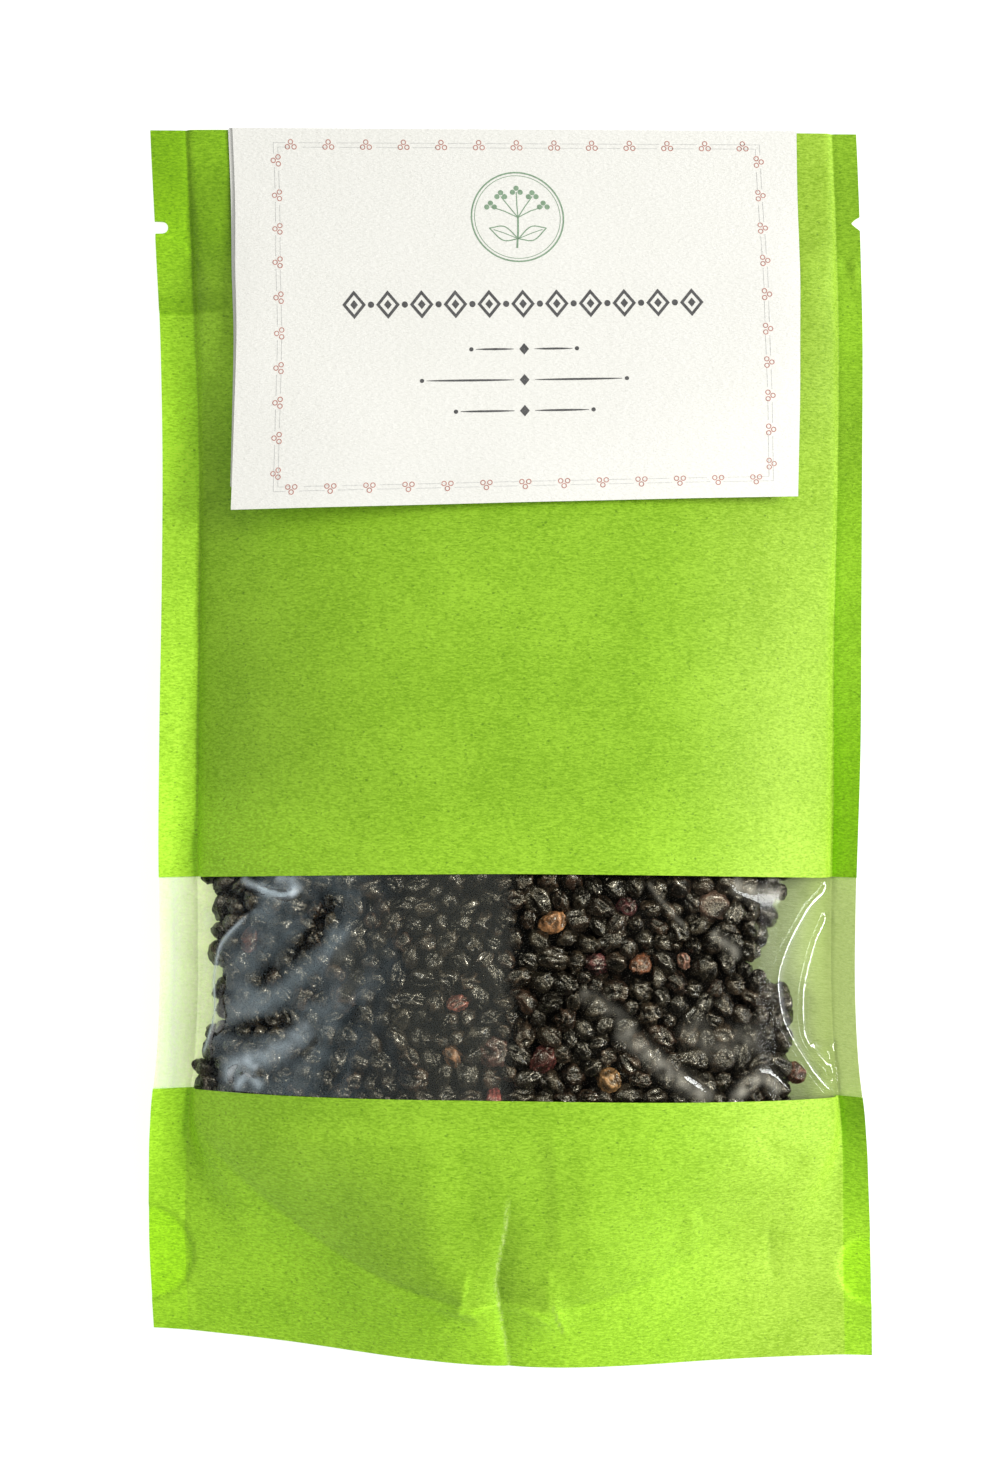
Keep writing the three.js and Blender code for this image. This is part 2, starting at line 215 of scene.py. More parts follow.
def ridge(x, v, points, width, height, fade=0.25):
    """A soft ridge (or a crease, with a negative height) that dies out at both ends."""
    d, along = distance(x, v, points)
    return height * bell(d, width) * span(along, 0, fade, 1 - fade, 1)


def ridges(x, v, table, fade):
    """All ridges of a table: their points, width and height."""
    return sum(ridge(x, v, *row, fade) for row in table)


def side_fall(d, left, right):
    """An asymmetric peak of one unit, left and right being its widths on the two sides."""
    return np.exp(-np.abs(d) / np.where(d > 0, left, right))


def waves(x, v, size, seed, stretch=1.0, count=14):
    """Smooth random undulation of about one unit, size millimetres long."""
    random = np.random.default_rng(seed)
    total = np.zeros(np.shape(x))
    for _ in range(count):
        angle, phase = random.uniform(0, 2 * np.pi, 2)
        k = 2 * np.pi / size * random.uniform(0.6, 1.5)
        total = total + np.sin(k * (np.cos(angle) * x / stretch + np.sin(angle) * v) + phase)
    return total / math.sqrt(count)


# ---- meshes --------------------
def make_object(name, verts, faces, materials, face_material=None, sharp=50):
    """verts in metres; faces all with the same number of corners."""
    faces = np.asarray(faces, np.int32)
    mesh = bpy.data.meshes.new(name)
    mesh.vertices.add(len(verts))
    mesh.vertices.foreach_set("co", np.asarray(verts, np.float32).ravel())
    mesh.loops.add(faces.size)
    mesh.loops.foreach_set("vertex_index", faces.ravel())
    mesh.polygons.add(len(faces))
    starts = np.arange(0, faces.size, faces.shape[1], dtype=np.int32)
    mesh.polygons.foreach_set("loop_start", starts)
    for material in materials:
        mesh.materials.append(material)
    if face_material is not None:
        mesh.polygons.foreach_set("material_index", np.asarray(face_material, np.int32))
    mesh.update(calc_edges=True)
    mesh.shade_smooth()
    if sharp:
        mesh.set_sharp_from_angle(angle=math.radians(sharp))
    piece = bpy.data.objects.new(name, mesh)
    bpy.context.scene.collection.objects.link(piece)
    return piece


def closed_sheet(name, top, under, materials, second=1):
    """A thin closed sheet between two grids of points (x, v, z). Its top (0), underside (1) or rim (2), as
    second says, takes the second material."""
    rows, cols = top[0].shape
    index = np.arange(rows * cols).reshape(rows, cols)
    quads = np.stack([index[:-1, :-1], index[:-1, 1:], index[1:, 1:], index[1:, :-1]], -1).reshape(-1, 4)
    loop = np.concatenate([index[0, :-1], index[:-1, -1], index[-1, :0:-1], index[:0:-1, 0]])
    after = np.roll(loop, -1)
    below = rows * cols
    rim = np.stack([loop + below, after + below, after, loop], -1)
    parts = [quads, quads[:, ::-1] + below, rim]
    takes_second = (np.arange(3) == second) & (len(materials) > 1)
    face_material = np.repeat(takes_second, [len(part) for part in parts])
    verts = np.concatenate([placed(*top), placed(*under)])
    return make_object(name, verts, np.concatenate(parts), materials, face_material)


def paint(piece, name, *channels):
    """Gives each point of the mesh four numbers. The underside of a sheet repeats those of its top."""
    values = np.stack(np.broadcast_arrays(*channels), -1).reshape(-1, 4)
    layer = piece.data.attributes.new(name, "FLOAT_COLOR", "POINT")
    repeated = np.tile(values, (len(layer.data) // len(values), 1))
    layer.data.foreach_set("color", repeated.astype(np.float32).ravel())


def keep(piece, slot, *nodes):
    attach(piece, "root")
    if nodes:
        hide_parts(*nodes)


# ---- materials --------------------
class Shader:
    """A few lines' shorthand for a material's nodes."""

    def __init__(self, name, **settings):
        self.material = bpy.data.materials.new(name)
        self.material.use_nodes = True
        self.tree = self.material.node_tree
        self.surface = self.tree.nodes["Principled BSDF"]
        self.output = self.tree.nodes["Material Output"]
        for key, value in settings.items():
            self.put(self.surface.inputs[key.replace("_", " ")], value)

    def put(self, socket, value):
        if isinstance(value, bpy.types.NodeSocket):
            self.tree.links.new(value, socket)
        else:
            socket.default_value = value

    def node(self, kind, inputs, **settings):
        node = self.tree.nodes.new("ShaderNode" + kind)
        for key, value in settings.items():
            setattr(node, key, value)
        for key, value in inputs.items():
            self.put(node.inputs[key], value)
        return node

    def place(self, scale=(1, 1, 1)):
        """The point on the object, in metres times scale."""
        coords = self.node("TexCoord", {}).outputs["Object"]
        return self.node("Mapping", {"Vector": coords, "Scale": scale}).outputs["Vector"]

    def noise(self, scale, detail, roughness):
        """Cloudy noise of a scale, or of one scale for each axis."""
        even = not isinstance(scale, tuple)
        inputs = {"Vector": self.place() if even else self.place(scale), "Scale": scale if even else 1.0}
        inputs |= {"Detail": detail, "Roughness": roughness}
        return self.node("TexNoise", inputs).outputs["Fac"]

    def ramp(self, value, *stops):
        node = self.node("ValToRGB", {"Fac": value})
        elements = node.color_ramp.elements
        while len(elements) < len(stops):
            elements.new(0.5)
        for element, (position, colour) in zip(elements, stops):
            element.position = position
            element.color = (*colour, 1) if isinstance(colour, tuple) else (colour, colour, colour, 1)
        return node.outputs["Color"]

    def blend(self, kind, factor, a, b):
        node = self.node("Mix", {}, data_type="RGBA", blend_type=kind)
        for key, value in (("Factor", factor), ("A", a), ("B", b)):
            self.put(next(s for s in node.inputs if s.name == key and s.enabled), value)
        return next(s for s in node.outputs if s.enabled)

    def math(self, operation, a, b):
        return self.node("Math", {0: a, 1: b}, operation=operation).outputs[0]

    def plus(self, a, b):
        return self.math("ADD", a, b)

    def times(self, a, b):
        return self.math("MULTIPLY", a, b)

    def marks(self, name):
        """The three numbers that the mesh gives each point."""
        return self.node("SeparateColor", {"Color": self.attribute(name).outputs["Color"]}).outputs

    def attribute(self, name):
        return self.node("Attribute", {}, attribute_name=name)

    def bump(self, *layers):
        """Roughens the surface by layers of height, depth in metres and strength."""
        normal = None
        for height, depth, strength in layers:
            inputs = {"Height": height, "Distance": depth, "Strength": strength}
            if normal:
                inputs["Normal"] = normal
            normal = self.node("Bump", inputs).outputs["Normal"]
        self.put(self.surface.inputs["Normal"], normal)

    def colour(self, value):
        self.put(self.surface.inputs["Base Color"], value)


def paper_material(name, dark, light, speck, sheen, contrast=1.0, wear_and_light_colour=None):
    """Fibrous paper: cloudy tone, short fibres that lie across the pouch, pores and tiny specks."""
    s = Shader(name, Roughness=0.5, Specular_IOR_Level=sheen)
    fibres = s.noise((800, 2700, 1500), 3, 0.65)
    flecks = s.noise((1700, 3800, 2000), 2, 0.6)
    cloud = s.noise(60, 4, 0.6)
    tone = s.plus(s.plus(s.times(fibres, 0.5), s.times(flecks, 0.3)), s.times(cloud, 0.2))
    spread = 0.088 / contrast
    colour = s.ramp(tone, (0.5 - spread, dark), (0.5 + spread, light))
    specks = s.ramp(s.noise((1500, 2100, 1700), 1, 0.5), (0.25, 1.0), (0.34, 0.0))
    colour = s.blend("MIX", s.times(specks, 0.6 * contrast), colour, (*speck, 1))
    cells = s.node("TexVoronoi", {"Vector": s.place((430, 560, 500)), "Scale": 1.0, "Randomness": 1.0})
    pores = s.ramp(cells.outputs["Distance"], (0.07, 1.0), (0.15, 0.0))
    pores = s.times(pores, s.ramp(s.noise(300, 2, 0.5), (0.42, 0.0), (0.56, 0.75)))
    colour = s.blend("MIX", s.times(pores, contrast), colour, (*speck, 1))
    if wear_and_light_colour:
        # The mesh's marks: red blends towards the wear colour, which is real wear on the green paper and
        # painted light on the inside; green paints the paper lighter or darker, which is painted light and
        # shade; blue deepens its green.
        marks = s.marks("paper")
        tone = s.plus(1.0, marks["Green"])
        tint = {"Green": tone}
        for channel, loss in (("Red", -0.14), ("Blue", -0.8)):  # a deeper green where the blue mark says so, and paler, a painted sheen, where it is negative
            tint[channel] = s.times(tone, s.plus(1.0, s.times(marks["Blue"], loss)))
        colour = s.blend("MULTIPLY", 1.0, colour, s.node("CombineColor", tint).outputs[0])
        broken = s.ramp(s.noise((2600, 1300, 2000), 2, 0.6), (0.42, 0.15), (0.58, 1.0))
        colour = s.blend("MIX", s.times(marks["Red"], broken), colour, (*wear_and_light_colour, 1))
    s.colour(colour)
    s.bump((fibres, 0.00030, 0.55), (flecks, 0.00012, 0.5))
    return s.material


GREEN = ((0.215, 0.435, 0.012), (0.365, 0.655, 0.036), (0.12, 0.26, 0.010))
PALE_GREEN = ((0.50, 0.61, 0.27), (0.65, 0.75, 0.40), (0.40, 0.50, 0.22))
WHITE = ((0.81, 0.808, 0.752), (0.85, 0.848, 0.80), (0.74, 0.74, 0.68))
green = paper_material("green laminated paper", *GREEN, 0.32, wear_and_light_colour=(0.60, 0.82, 0.22))
plain_green = paper_material("green laminated paper, back", *GREEN, 0.32)
# On the inside the wear colour stands for painted light, on the back's left end.
inside = paper_material("inside of the laminate", *PALE_GREEN, 0.3, 0.7, wear_and_light_colour=(0.84, 0.86, 0.62))
white = paper_material("leaflet paper", *WHITE, 0.25, 0.7)


def film_material():
    """The mesh says how strongly the film mirrors, how milky it is and how warm its milkiness looks. The
    milkiness is partly the film's own and partly a painted reflection and glare, bluish on the left and warm
    on the right.
    """
    s = Shader("clear film", Metallic=1.0, Roughness=0.04, Base_Color=(0.92, 0.94, 0.95, 1))
    marks = s.marks("film")
    haze_and_glare_colour = s.blend("MIX", marks["Blue"], (0.76, 0.86, 0.92, 1), (0.90, 0.86, 0.72, 1))
    facing = s.node("LayerWeight", {"Blend": 0.5}).outputs["Facing"]
    gloss = s.times(s.plus(0.038, s.times(s.math("POWER", facing, 5.0), 0.6)), marks["Red"])
    haze_and_glare_amount = s.plus(s.ramp(s.noise(90, 3, 0.6), (0.35, 0.0), (0.75, 0.002)), marks["Green"])
    clear = s.node("BsdfTransparent", {"Color": (0.975, 0.98, 0.97, 1)}).outputs[0]
    haze_and_glare = s.node("BsdfDiffuse", {"Color": haze_and_glare_colour}).outputs[0]
    hazed = s.node("MixShader", {"Fac": haze_and_glare_amount, 1: clear, 2: haze_and_glare}).outputs[0]
    mixed = s.node("MixShader", {"Fac": gloss, 1: hazed, 2: s.surface.outputs[0]}).outputs[0]
    s.put(s.output.inputs["Surface"], mixed)
    s.bump((s.noise(700, 2, 0.5), 0.00004, 0.2))
    return s.material


def berry_material():
    """Dry wrinkled skin. The mesh says each berry's colour, and how far a point stands out of a hollow, which
    paints shade into the hollows.
    """
    s = Shader("dried berry skin", Specular_IOR_Level=0.7, Specular_Tint=(1.0, 0.95, 0.82, 1.0),
               Coat_Weight=0.35, Coat_Roughness=0.14)
    skin = s.attribute("skin")
    creased = s.noise(1100, 3, 0.65)
    fine = s.noise(2600, 3, 0.65)
    # Painted shade: the hollows are painted darker, and the crests lighter, partly dusty skin and partly
    # painted light.
    relief = s.ramp(skin.outputs["Alpha"], (0.10, 0.04), (0.45, 0.5), (1.0, 2.8))
    colour = s.blend("MULTIPLY", 1.0, skin.outputs["Color"], relief)
    colour = s.blend("MULTIPLY", 1.0, colour, s.ramp(creased, (0.38, 0.5), (0.62, 1.5)))
    bloom = s.times(s.ramp(s.noise(420, 3, 0.6), (0.52, 0.0), (0.74, 1.0)), 0.05)
    s.colour(s.blend("MIX", bloom, colour, (0.17, 0.14, 0.08, 1)))
    s.put(s.surface.inputs["Roughness"], s.ramp(fine, (0.3, 0.18), (0.7, 0.42)))
    s.bump((creased, 0.0005, 0.6), (fine, 0.0002, 0.5))
    return s.material


def zip_material():
    s = Shader("zip plastic", Roughness=0.35, Specular_IOR_Level=0.5, Subsurface_Weight=0.2)
    s.colour(s.ramp(s.noise(160, 3, 0.6), (0.35, (0.66, 0.70, 0.66)), (0.7, (0.78, 0.80, 0.77))))
    grain = s.node("TexNoise", {"Vector": s.place((1, 4, 1)), "Scale": 900, "Detail": 2, "Roughness": 0.5})
    s.bump((grain.outputs["Fac"], 0.00005, 0.5))
    return s.material


def ink_material(name, colour):
    s = Shader(name, Roughness=0.75, Specular_IOR_Level=0.2)
    patchy = s.noise(1800, 2, 0.6)
    light = tuple(min(1.0, c * 1.3 + 0.02) for c in colour)
    s.colour(s.ramp(patchy, (0.35, colour), (0.7, light)))
    s.bump((patchy, 0.00002, 0.4))
    return s.material


# ---- the pouch's sheets --------------------
PAPER, FILM = 0.16, 0.06  # thickness of the laminate and of the film
PANEL = 124  # about the width between the side seals
WELD_LOW, WELD_RISE, WELD_REACH, WELD_POWER = 11, 34, 62, 2.25  # the base's weld line: height, rise and shape
BELL_REACH = 76  # half width of the bell that the pouch's foot makes
LEFT_PUNCH, RIGHT_PUNCH = (-71.8, 16.4), (70.6, 16.8)  # middles of the side edges' round punch marks
LEFT_PUNCH_RADIUS, RIGHT_PUNCH_RADIUS = 9.9, 6.45
BASE_PUNCH, BASE_PUNCH_RADIUS = 16.5, 8.5  # the same marks in the folded base
NOTCHES = (220.6, 222.3)  # heights of the left and the right tear notch
NOTCH_STEPS = (-1.21, -1.2, -1.1, -0.8, -0.4, 0, 0.4, 0.8, 1.1, 1.2, 1.21)  # rows that draw a notch
CLEAR = 0.12  # room between the folded base and the front

# Lines of the lower panel's creases.
CREASES = {
    "long": [(0.0, 33.2), (-0.6, 26.8), (-2.5, 17.3), (-2.3, 13.3), (-1.4, 5.8), (-0.6, -1.0)],
    "short": [(7.2, 20.5), (7.6, 14.6), (8.6, 9.8), (10.2, 5.5)],
    "left": [(-7.2, 20.5), (-8.9, 12.8), (-9.6, 8.6)],
    "arch": [(-9.4, 8.8), (-5.5, 11.2), (-2.2, 11.8), (3.4, 11.2), (8.6, 8.4)],
    "right": [(49.8, 25.5), (50.2, 20), (50.9, 12.5)],
    "soft": [(8.0, 47), (8.8, 38), (9.2, 27), (9.0, 19)],
    "facet": [(0.2, 34), (4.4, 27), (7.2, 20.5), (7.6, 14.6), (8.8, 9)],
}
# How the panel bends along them: height, width on each side, and the part of the way where it is full.
CREASE_BENDS = (
    ("short", 1.25, 2.6, 5.0, 0.4, 0.6),
    ("left", 0.9, 1.8, 4.5, 0.4, 0.8),
    ("arch", 0.7, 2.2, 2.6, 0.15, 0.85),
    ("right", -0.55, 2.2, 0.9, 0.3, 0.6),
)
# Its soft folds: their points, width and height.
PANEL_FOLDS = (
    (CREASES["soft"], 2.4, 0.25),
    ([(34.0, 31), (35.0, 25), (33.4, 20)], 1.8, 0.45),
    ([(46, 45), (52, 39), (58, 36)], 2.6, -0.5),
)
ZIP_PRESSED = 203.6  # height of the line where the zip's left end is pressed into the seal
ZIP_ARCH = (-70, 204, 13.2, 15.2)  # the mark of that press: its middle, half width and height
# Dimples and bumps at the zip's ends: place, half width and half height, and how far they stand out.
ZIP_DIMPLES = (
    (-65.4, 209.7, 0.6, 1.1, 0.22), (-63.2, 209.6, 0.5, 1.0, 0.25), (66.6, 213.2, 0.9, 1.5, -0.42),
    (61.4, 213.0, 1.2, 1.6, -0.20), (58.0, 211.6, 1.4, 2.4, 0.25), (68.6, 212.6, 0.5, 2.6, 0.22),
    (60.6, 217.2, 0.8, 1.8, 0.22), (-57.0, 199.0, 1.2, 3.0, 0.30), (-69.4, 214.6, 0.5, 0.4, 0.2),
)


def welded(x, v):
    """1 on a side seal, 0 away from it. At the foot, where the base is welded in, it fades over some way."""
    fade = mix(14.0, 1.2, smooth(v, 20, 47))
    return smooth(share(x, v), 1 - fade / inner_line(x, v), 1)


def weld_thickness(v):
    return mix(1.1, 0.6, smooth(v, 38, 44))


def seal_curve(x):
    """The weld line of the folded base on the front: low in the middle and high at the sides."""
    return WELD_LOW + WELD_RISE * (np.abs(x) / WELD_REACH) ** WELD_POWER


def front_outer(x, v):
    """Outside of the front, before its creases. At its foot it falls away to the sides like a bell."""
    pressed = back_outer(x, v) + weld_thickness(v)
    plain = mix(cad_front_outer(x, v), pressed, welded(x, v))
    fall = (1 + np.cos(np.pi * np.minimum(1, np.abs(x) / BELL_REACH))) / 2
    foot = pressed + (cad_front_outer(0 * x, v) - weld_thickness(v)) * fall
    return mix(foot, plain, smooth(v, 16, 47))


def across(v, interior, strip, edge=None):
    """x for rows v: even columns between the side seals, and strip columns on each of them."""
    edge_left, edge_right = edge if edge else (half_width(v), half_width(v))
    inner_left, inner_right = inner_line(-1, v), inner_line(1, v)
    close = np.array([0.12, 0.3, 0.55])  # columns close to the seal's inner line, which is a sharp step
    near = close / PANEL
    a = np.unique(np.concatenate([np.linspace(0, 1, interior + 1), near, 1 - near]))
    b = np.unique(np.concatenate([np.linspace(0, 1, strip + 1), 1 - close[:2] / SEAL]))
    middle = -inner_left[:, None] + (inner_left + inner_right)[:, None] * a
    left = -edge_left[:, None] + (edge_left - inner_left)[:, None] * b[:-1]
    right = inner_right[:, None] + (edge_right - inner_right)[:, None] * (1 - b[::-1])[1:]
    return np.concatenate([left, middle, right], 1)


def rows_between(low, high, step, extra=()):
    v = np.linspace(low, high, int(round((high - low) / step)) + 1)
    return np.unique(np.concatenate([v, [e for e in extra if low < e < high]]))


def notch_rows():
    return [centre + d for centre in NOTCHES for d in NOTCH_STEPS]


def notched_edge(v):
    """Half widths left and right: a round-ended slot on the left, and a smaller pointed nick on the right."""
    left, right = v - NOTCHES[0], v - NOTCHES[1]
    radius = 1.2
    slot = 1.4 + np.sqrt(np.maximum(0, radius**2 - left**2))
    nick = 1.7 * np.maximum(0, 1 - np.abs(right + 0.2) / 1.3) ** 0.7
    return [half_width(v) - np.where(np.abs(left) <= radius + 0.0001, slot, 0), half_width(v) - nick]


def from_point(x, v, point):
    return np.hypot(x - point[0], v - point[1])


def punch_mark(x, v):
    """1 inside the half-round punch marks of the side edges."""
    left = smooth(from_point(x, v, LEFT_PUNCH) - LEFT_PUNCH_RADIUS, -0.6, 0.6)
    right = smooth(from_point(x, v, RIGHT_PUNCH) - RIGHT_PUNCH_RADIUS, -0.55, 0.55)
    return 1 - np.minimum(left, right)


def zip_end(x, v):
    """1 on the crushed end of the zip in the left side seal, which is an arch."""
    middle, foot, half, tall = ZIP_ARCH
    outwards = np.hypot((x - middle) / half, (v - foot) / tall)
    return smooth(v, foot - 0.6, foot) * (1 - smooth(outwards, 0.93, 1))


def foot_relief(x, v):
    """The welded foot of the panel is flat, and the panel swells above its curved edge."""
    steepness = WELD_RISE * WELD_POWER / WELD_REACH * (np.abs(x) / WELD_REACH) ** (WELD_POWER - 1)
    above = (v - seal_curve(x)) / np.hypot(1, steepness)
    there = (1 - smooth(v, 32, 47)) * smooth(np.abs(x), 6, 16) * (1 - smooth(share(x, v), 0.97, 1.02))
    return there * (1.3 * (1 - np.exp(-np.maximum(above, 0) / 4.5)) - 0.15 * bell(above, 0.7))


def crease_relief(x, v):
    """Bends, a dent and soft folds along the lower panel's creases."""
    d, along = distance(x, v, CREASES["long"])
    z = ridges(x, v, PANEL_FOLDS, 0.25)
    z = z - 1.9 * side_fall(d, 5.0, 2.6) * smooth(along, 0, 0.55) * smooth(v, -14, 14)
    for name, height, left, right, full, fall in CREASE_BENDS:
        d, along = distance(x, v, CREASES[name])
        z = z + height * side_fall(d, left, right) * span(along, 0, full, fall, 1)
    d, along = distance(x, v, CREASES["short"])
    return z - 0.35 * bell(d, 0.5) * span(along, 0.15, 0.4, 0.8, 1)


def zip_relief(x, v):
    """The zip shows as a double ridge across the panel, and as crushed ends in the seals."""
    inner = 1 - smooth(share(x, v), 0.9, 1.0)
    z = 0.12 * inner * sum(bell(v - ZIP_HEIGHT + offset, 0.9) for offset in (-1.2, 1.2))
    z = z + 0.30 * zip_end(x, v) - 0.22 * bell(v - ZIP_PRESSED, 0.45) * smooth(-x, 55, 58)
    for px, pv, wide, tall, height in ZIP_DIMPLES:
        z = z + height * bell(x - px, wide) * bell(v - pv, tall)
    return z


def paper_relief(x, v):
    """Creases and waves of the front's paper."""
    q = share(x, v)
    z = (0.10 * waves(x, v, 34, 11, 1.4) + 0.022 * waves(x, v, 9, 12)) * (1 - smooth(q, 0.86, 1))
    z = z + foot_relief(x, v) - 0.42 * punch_mark(x, v) + crease_relief(x, v) + zip_relief(x, v)
    # soft buckles beside the seals, and a line pressed along the inner edge of each
    z = z + 0.13 * waves(x, v, 16, 13, 2.0) * span(q, 0.7, 0.95, 0.97, 1.01)
    return z - 0.10 * bell(np.abs(x) - inner_line(x, v), 0.45) * mix(0.3, 1, smooth(v, 38, 50))


# Painted light and shade: how much lighter the side seals are painted than the paper's own colour, going up
# the pouch, as their tilt catches or misses the light.
left_seal_painted_light = profile(
    (0, 0.3), (45, 0.38), (94, 0.44), (110, 0.46), (119, 0.27), (128, 0.29), (137, 0.23), (146, 0.15),
    (155, 0.09), (164, 0.55), (173, 0.78), (182, 0.7), (191, 0.44), (200, 0.25), (209, 0.19), (218, 0.15),
    (227, -0.12), (240, -0.12),
)
right_seal_painted_light = profile(
    (0, 0.34), (37, 0.32), (43, 0.12), (50, 0.08), (95, 0.38), (101, 0.4), (119, 0.52), (137, 0.62),
    (150, 0.6), (164, 0.4), (173, 0.07), (186, -0.08), (200, 0.02), (209, -0.11), (218, -0.17), (227, -0.19),
    (236, -0.14), (240, -0.14),
)
# The same for the strips of the front between the seals and the leaflet, mostly the leaflet's painted shadow.
left_strip_painted_shade = profile(
    (150, 0), (155, -0.06), (164, -0.15), (173, -0.08), (182, 0.02), (191, 0.17), (200, 0.09), (209, -0.04),
    (218, -0.24), (227, -0.34), (236, -0.17), (240, -0.17),
)
right_strip_painted_shade = profile(
    (172, 0), (182, -0.09), (191, -0.17), (200, -0.165), (209, -0.12), (218, -0.13), (227, -0.03),
    (236, 0.02), (240, 0.02),
)
# How much deeper the seals' green is, going up the pouch.
left_weld_deep = profile(
    (0, 0.5), (45, 0.4), (94, 0.05), (156, 0.0), (182, 0.3), (206, 0.4), (222, 0.9), (240, 0.9),
)
right_weld_deep = profile((0, 0.25), (45, 0.5), (95, 0.85), (114, 0.8), (130, 0.36), (200, 0.3), (240, 0.1))
# Painted light and shade: how much lighter the panels are painted from left to right, as their swell faces
# towards or away from the light: the lower one, its welded foot and the upper one.
painted_light_low = profile((-64, 0.24), (-50, 0.25), (-20, 0.1), (0, 0.06), (30, 0.1), (50, 0.16), (64, 0.12))
painted_light_foot = profile((-64, 0.3), (-40, 0.32), (0, 0.24), (40, 0.18), (64, 0.15))
painted_light_high = profile((-64, 0.05), (-50, 0.05), (-30, 0.04), (0, -0.03), (32, -0.08), (50, -0.03), (64, 0.0))
# Painted highlights and painted shade by the creases: distance from the crease, width, amount, and where
# along it they begin.
CREASE_PAINTED_LIGHT = (
    ("short", 0, 0.35, -0.5, 0.4), ("short", 0.7, 0.5, 0.28, 0.35), ("left", 0, 0.55, 0.24, 0.1),
    ("arch", 0, 0.6, 0.3, 0),
)
UPPER_FROM, LOWER_TO = 60, 48  # the upper panel lies above the one, the lower panel's foot below the other


def crease_painted_light(x, v):
    """Painted light and shade along and between the lower panel's creases."""
    tone = 0 * x
    for name, offset, width, amount, start in CREASE_PAINTED_LIGHT:
        d, along = distance(x, v, CREASES[name])
        tone = tone + amount * bell(d - offset, width) * span(along, start, start + 0.2, 0.88, 1)
    d, along = distance(x, v, CREASES["soft"])
    tone = tone + (0.06 * bell(d - 0.6, 0.8) - 0.05 * bell(d + 0.9, 1.1)) * span(along, 0, 0.2, 0.8, 1)
    # painted shade on the facet between the two creases, which faces away from the light
    east_of_long = smooth(distance(x, v, CREASES["long"])[0], 0, 0.5)
    west_of_short = smooth(-distance(x, v, CREASES["facet"])[0], 0, 0.7)
    above_arch, along = distance(x, v, CREASES["arch"])
    facet = east_of_long * west_of_short * smooth(above_arch, 0, 0.6) * (1 - 0.5 * smooth(v, 20, 33))
    # painted shade just under the arch
    under_arch_shade = span(-above_arch, 0.3, 1, 2.5, 5) * span(along, 0.05, 0.2, 0.35, 0.45)
    return tone - 0.11 * facet - 0.07 * under_arch_shade


def crease_wear(x, v):
    """Where a hard fold has broken the green surface."""
    wear = 0 * x
    for name, width, amount in (("long", 0.25, 1.0), ("right", 0.2, 0.15)):
        d, along = distance(x, v, CREASES[name])
        line = bell(d, width) * smooth(along, 0, 0.12) * (1 - 0.4 * smooth(along, 0.6, 0.9))
        wear = np.maximum(wear, amount * line)
    d, along = distance(x, v, CREASES["short"])
    return np.maximum(wear, 0.4 * bell(d, 0.16) * span(along, 0.45, 0.6, 0.8, 0.95))


def by_side(x, left, right):
    """One value on the left half and another on the right."""
    return np.where(x < 0, left, right)


def paper_wear_and_painted_light(x, v):
    """What the mesh tells the paper: where it is worn, how much lighter or darker the laminate is painted,
    which is mostly painted light and shade where the pouch's form and seals face towards or away from the
    light, and how much deeper its green is, or how much paler with a painted sheen on the right."""
    weld = smooth(share(x, v), 0.997, 1.003)
    below = (1 - smooth(v - seal_curve(x), -0.6, 0.6)) * (v < LOWER_TO)
    # Painted light and shade: the panels by their swell and just above the window, the strips by the
    # leaflet's painted shadow, the lower left beside the window, and the seals by their tilt.
    upper = painted_light_high(x) + 0.11 * (1 - smooth(v, 94, 112))
    panel = mix(np.where(v < UPPER_FROM, painted_light_low(x), upper), painted_light_foot(x), below)
    painted_strip_shade = by_side(x, left_strip_painted_shade(v) * smooth(-x, 46, 54), right_strip_painted_shade(v) * smooth(x, 42, 56))
    painted_light_beside_window = 0.25 * smooth(-x, 25, 45) * (1 - smooth(v, 98, 118)) * (v > UPPER_FROM)
    tone = mix(panel + painted_strip_shade + painted_light_beside_window, by_side(x, left_seal_painted_light(v), right_seal_painted_light(v)), weld)
    tone = tone + crease_painted_light(x, v)
    # the zip's crushed ends: a darker band above the zip, partly the pressed plastic and partly the painted
    # shadow of its step
    band = span(v, 203.2, 203.7, 205.5, 209) * smooth(np.abs(x), 54, 57) * (x < 0)
    tone = tone - 0.22 * band - 0.08 * zip_end(x, v) + 0.14 * punch_mark(x, v)
    # painted shade on the left punch mark's rim and a painted highlight on the right one's, and painted
    # stitches of highlight along the right seal at the foot
    tone = tone - 0.12 * bell(from_point(x, v, LEFT_PUNCH) - LEFT_PUNCH_RADIUS - 0.5, 0.6)
    tone = tone + 0.22 * bell(from_point(x, v, RIGHT_PUNCH) - RIGHT_PUNCH_RADIUS - 0.45, 0.4)
    highlight_stitches = 0.25 * bell(x - inner_line(x, v), 0.22) * (x > 0) * (0.5 + 0.5 * np.sin(3.4 * v))
    tone = tone + highlight_stitches * (v < 44) * (v > 8)
    # on the right the paper is painted paler, a painted sheen; on the seals its green is deeper
    deep_green_and_sheen = mix(-0.95 * smooth(x, 26, 54), by_side(x, left_weld_deep(v), right_weld_deep(v)), weld)
    left_top = 0.6 * smooth(-x, 48, 55) * smooth(v, 206, 220)
    deep_green_and_sheen = deep_green_and_sheen + (left_top + 0.25 * below * (1 - smooth(x, -10, 30))) * (1 - weld)
    deep_green_and_sheen = np.clip(deep_green_and_sheen + 0.35 * band + 0.4 * punch_mark(x, v), -1, 1)
    return crease_wear(x, v), tone, deep_green_and_sheen


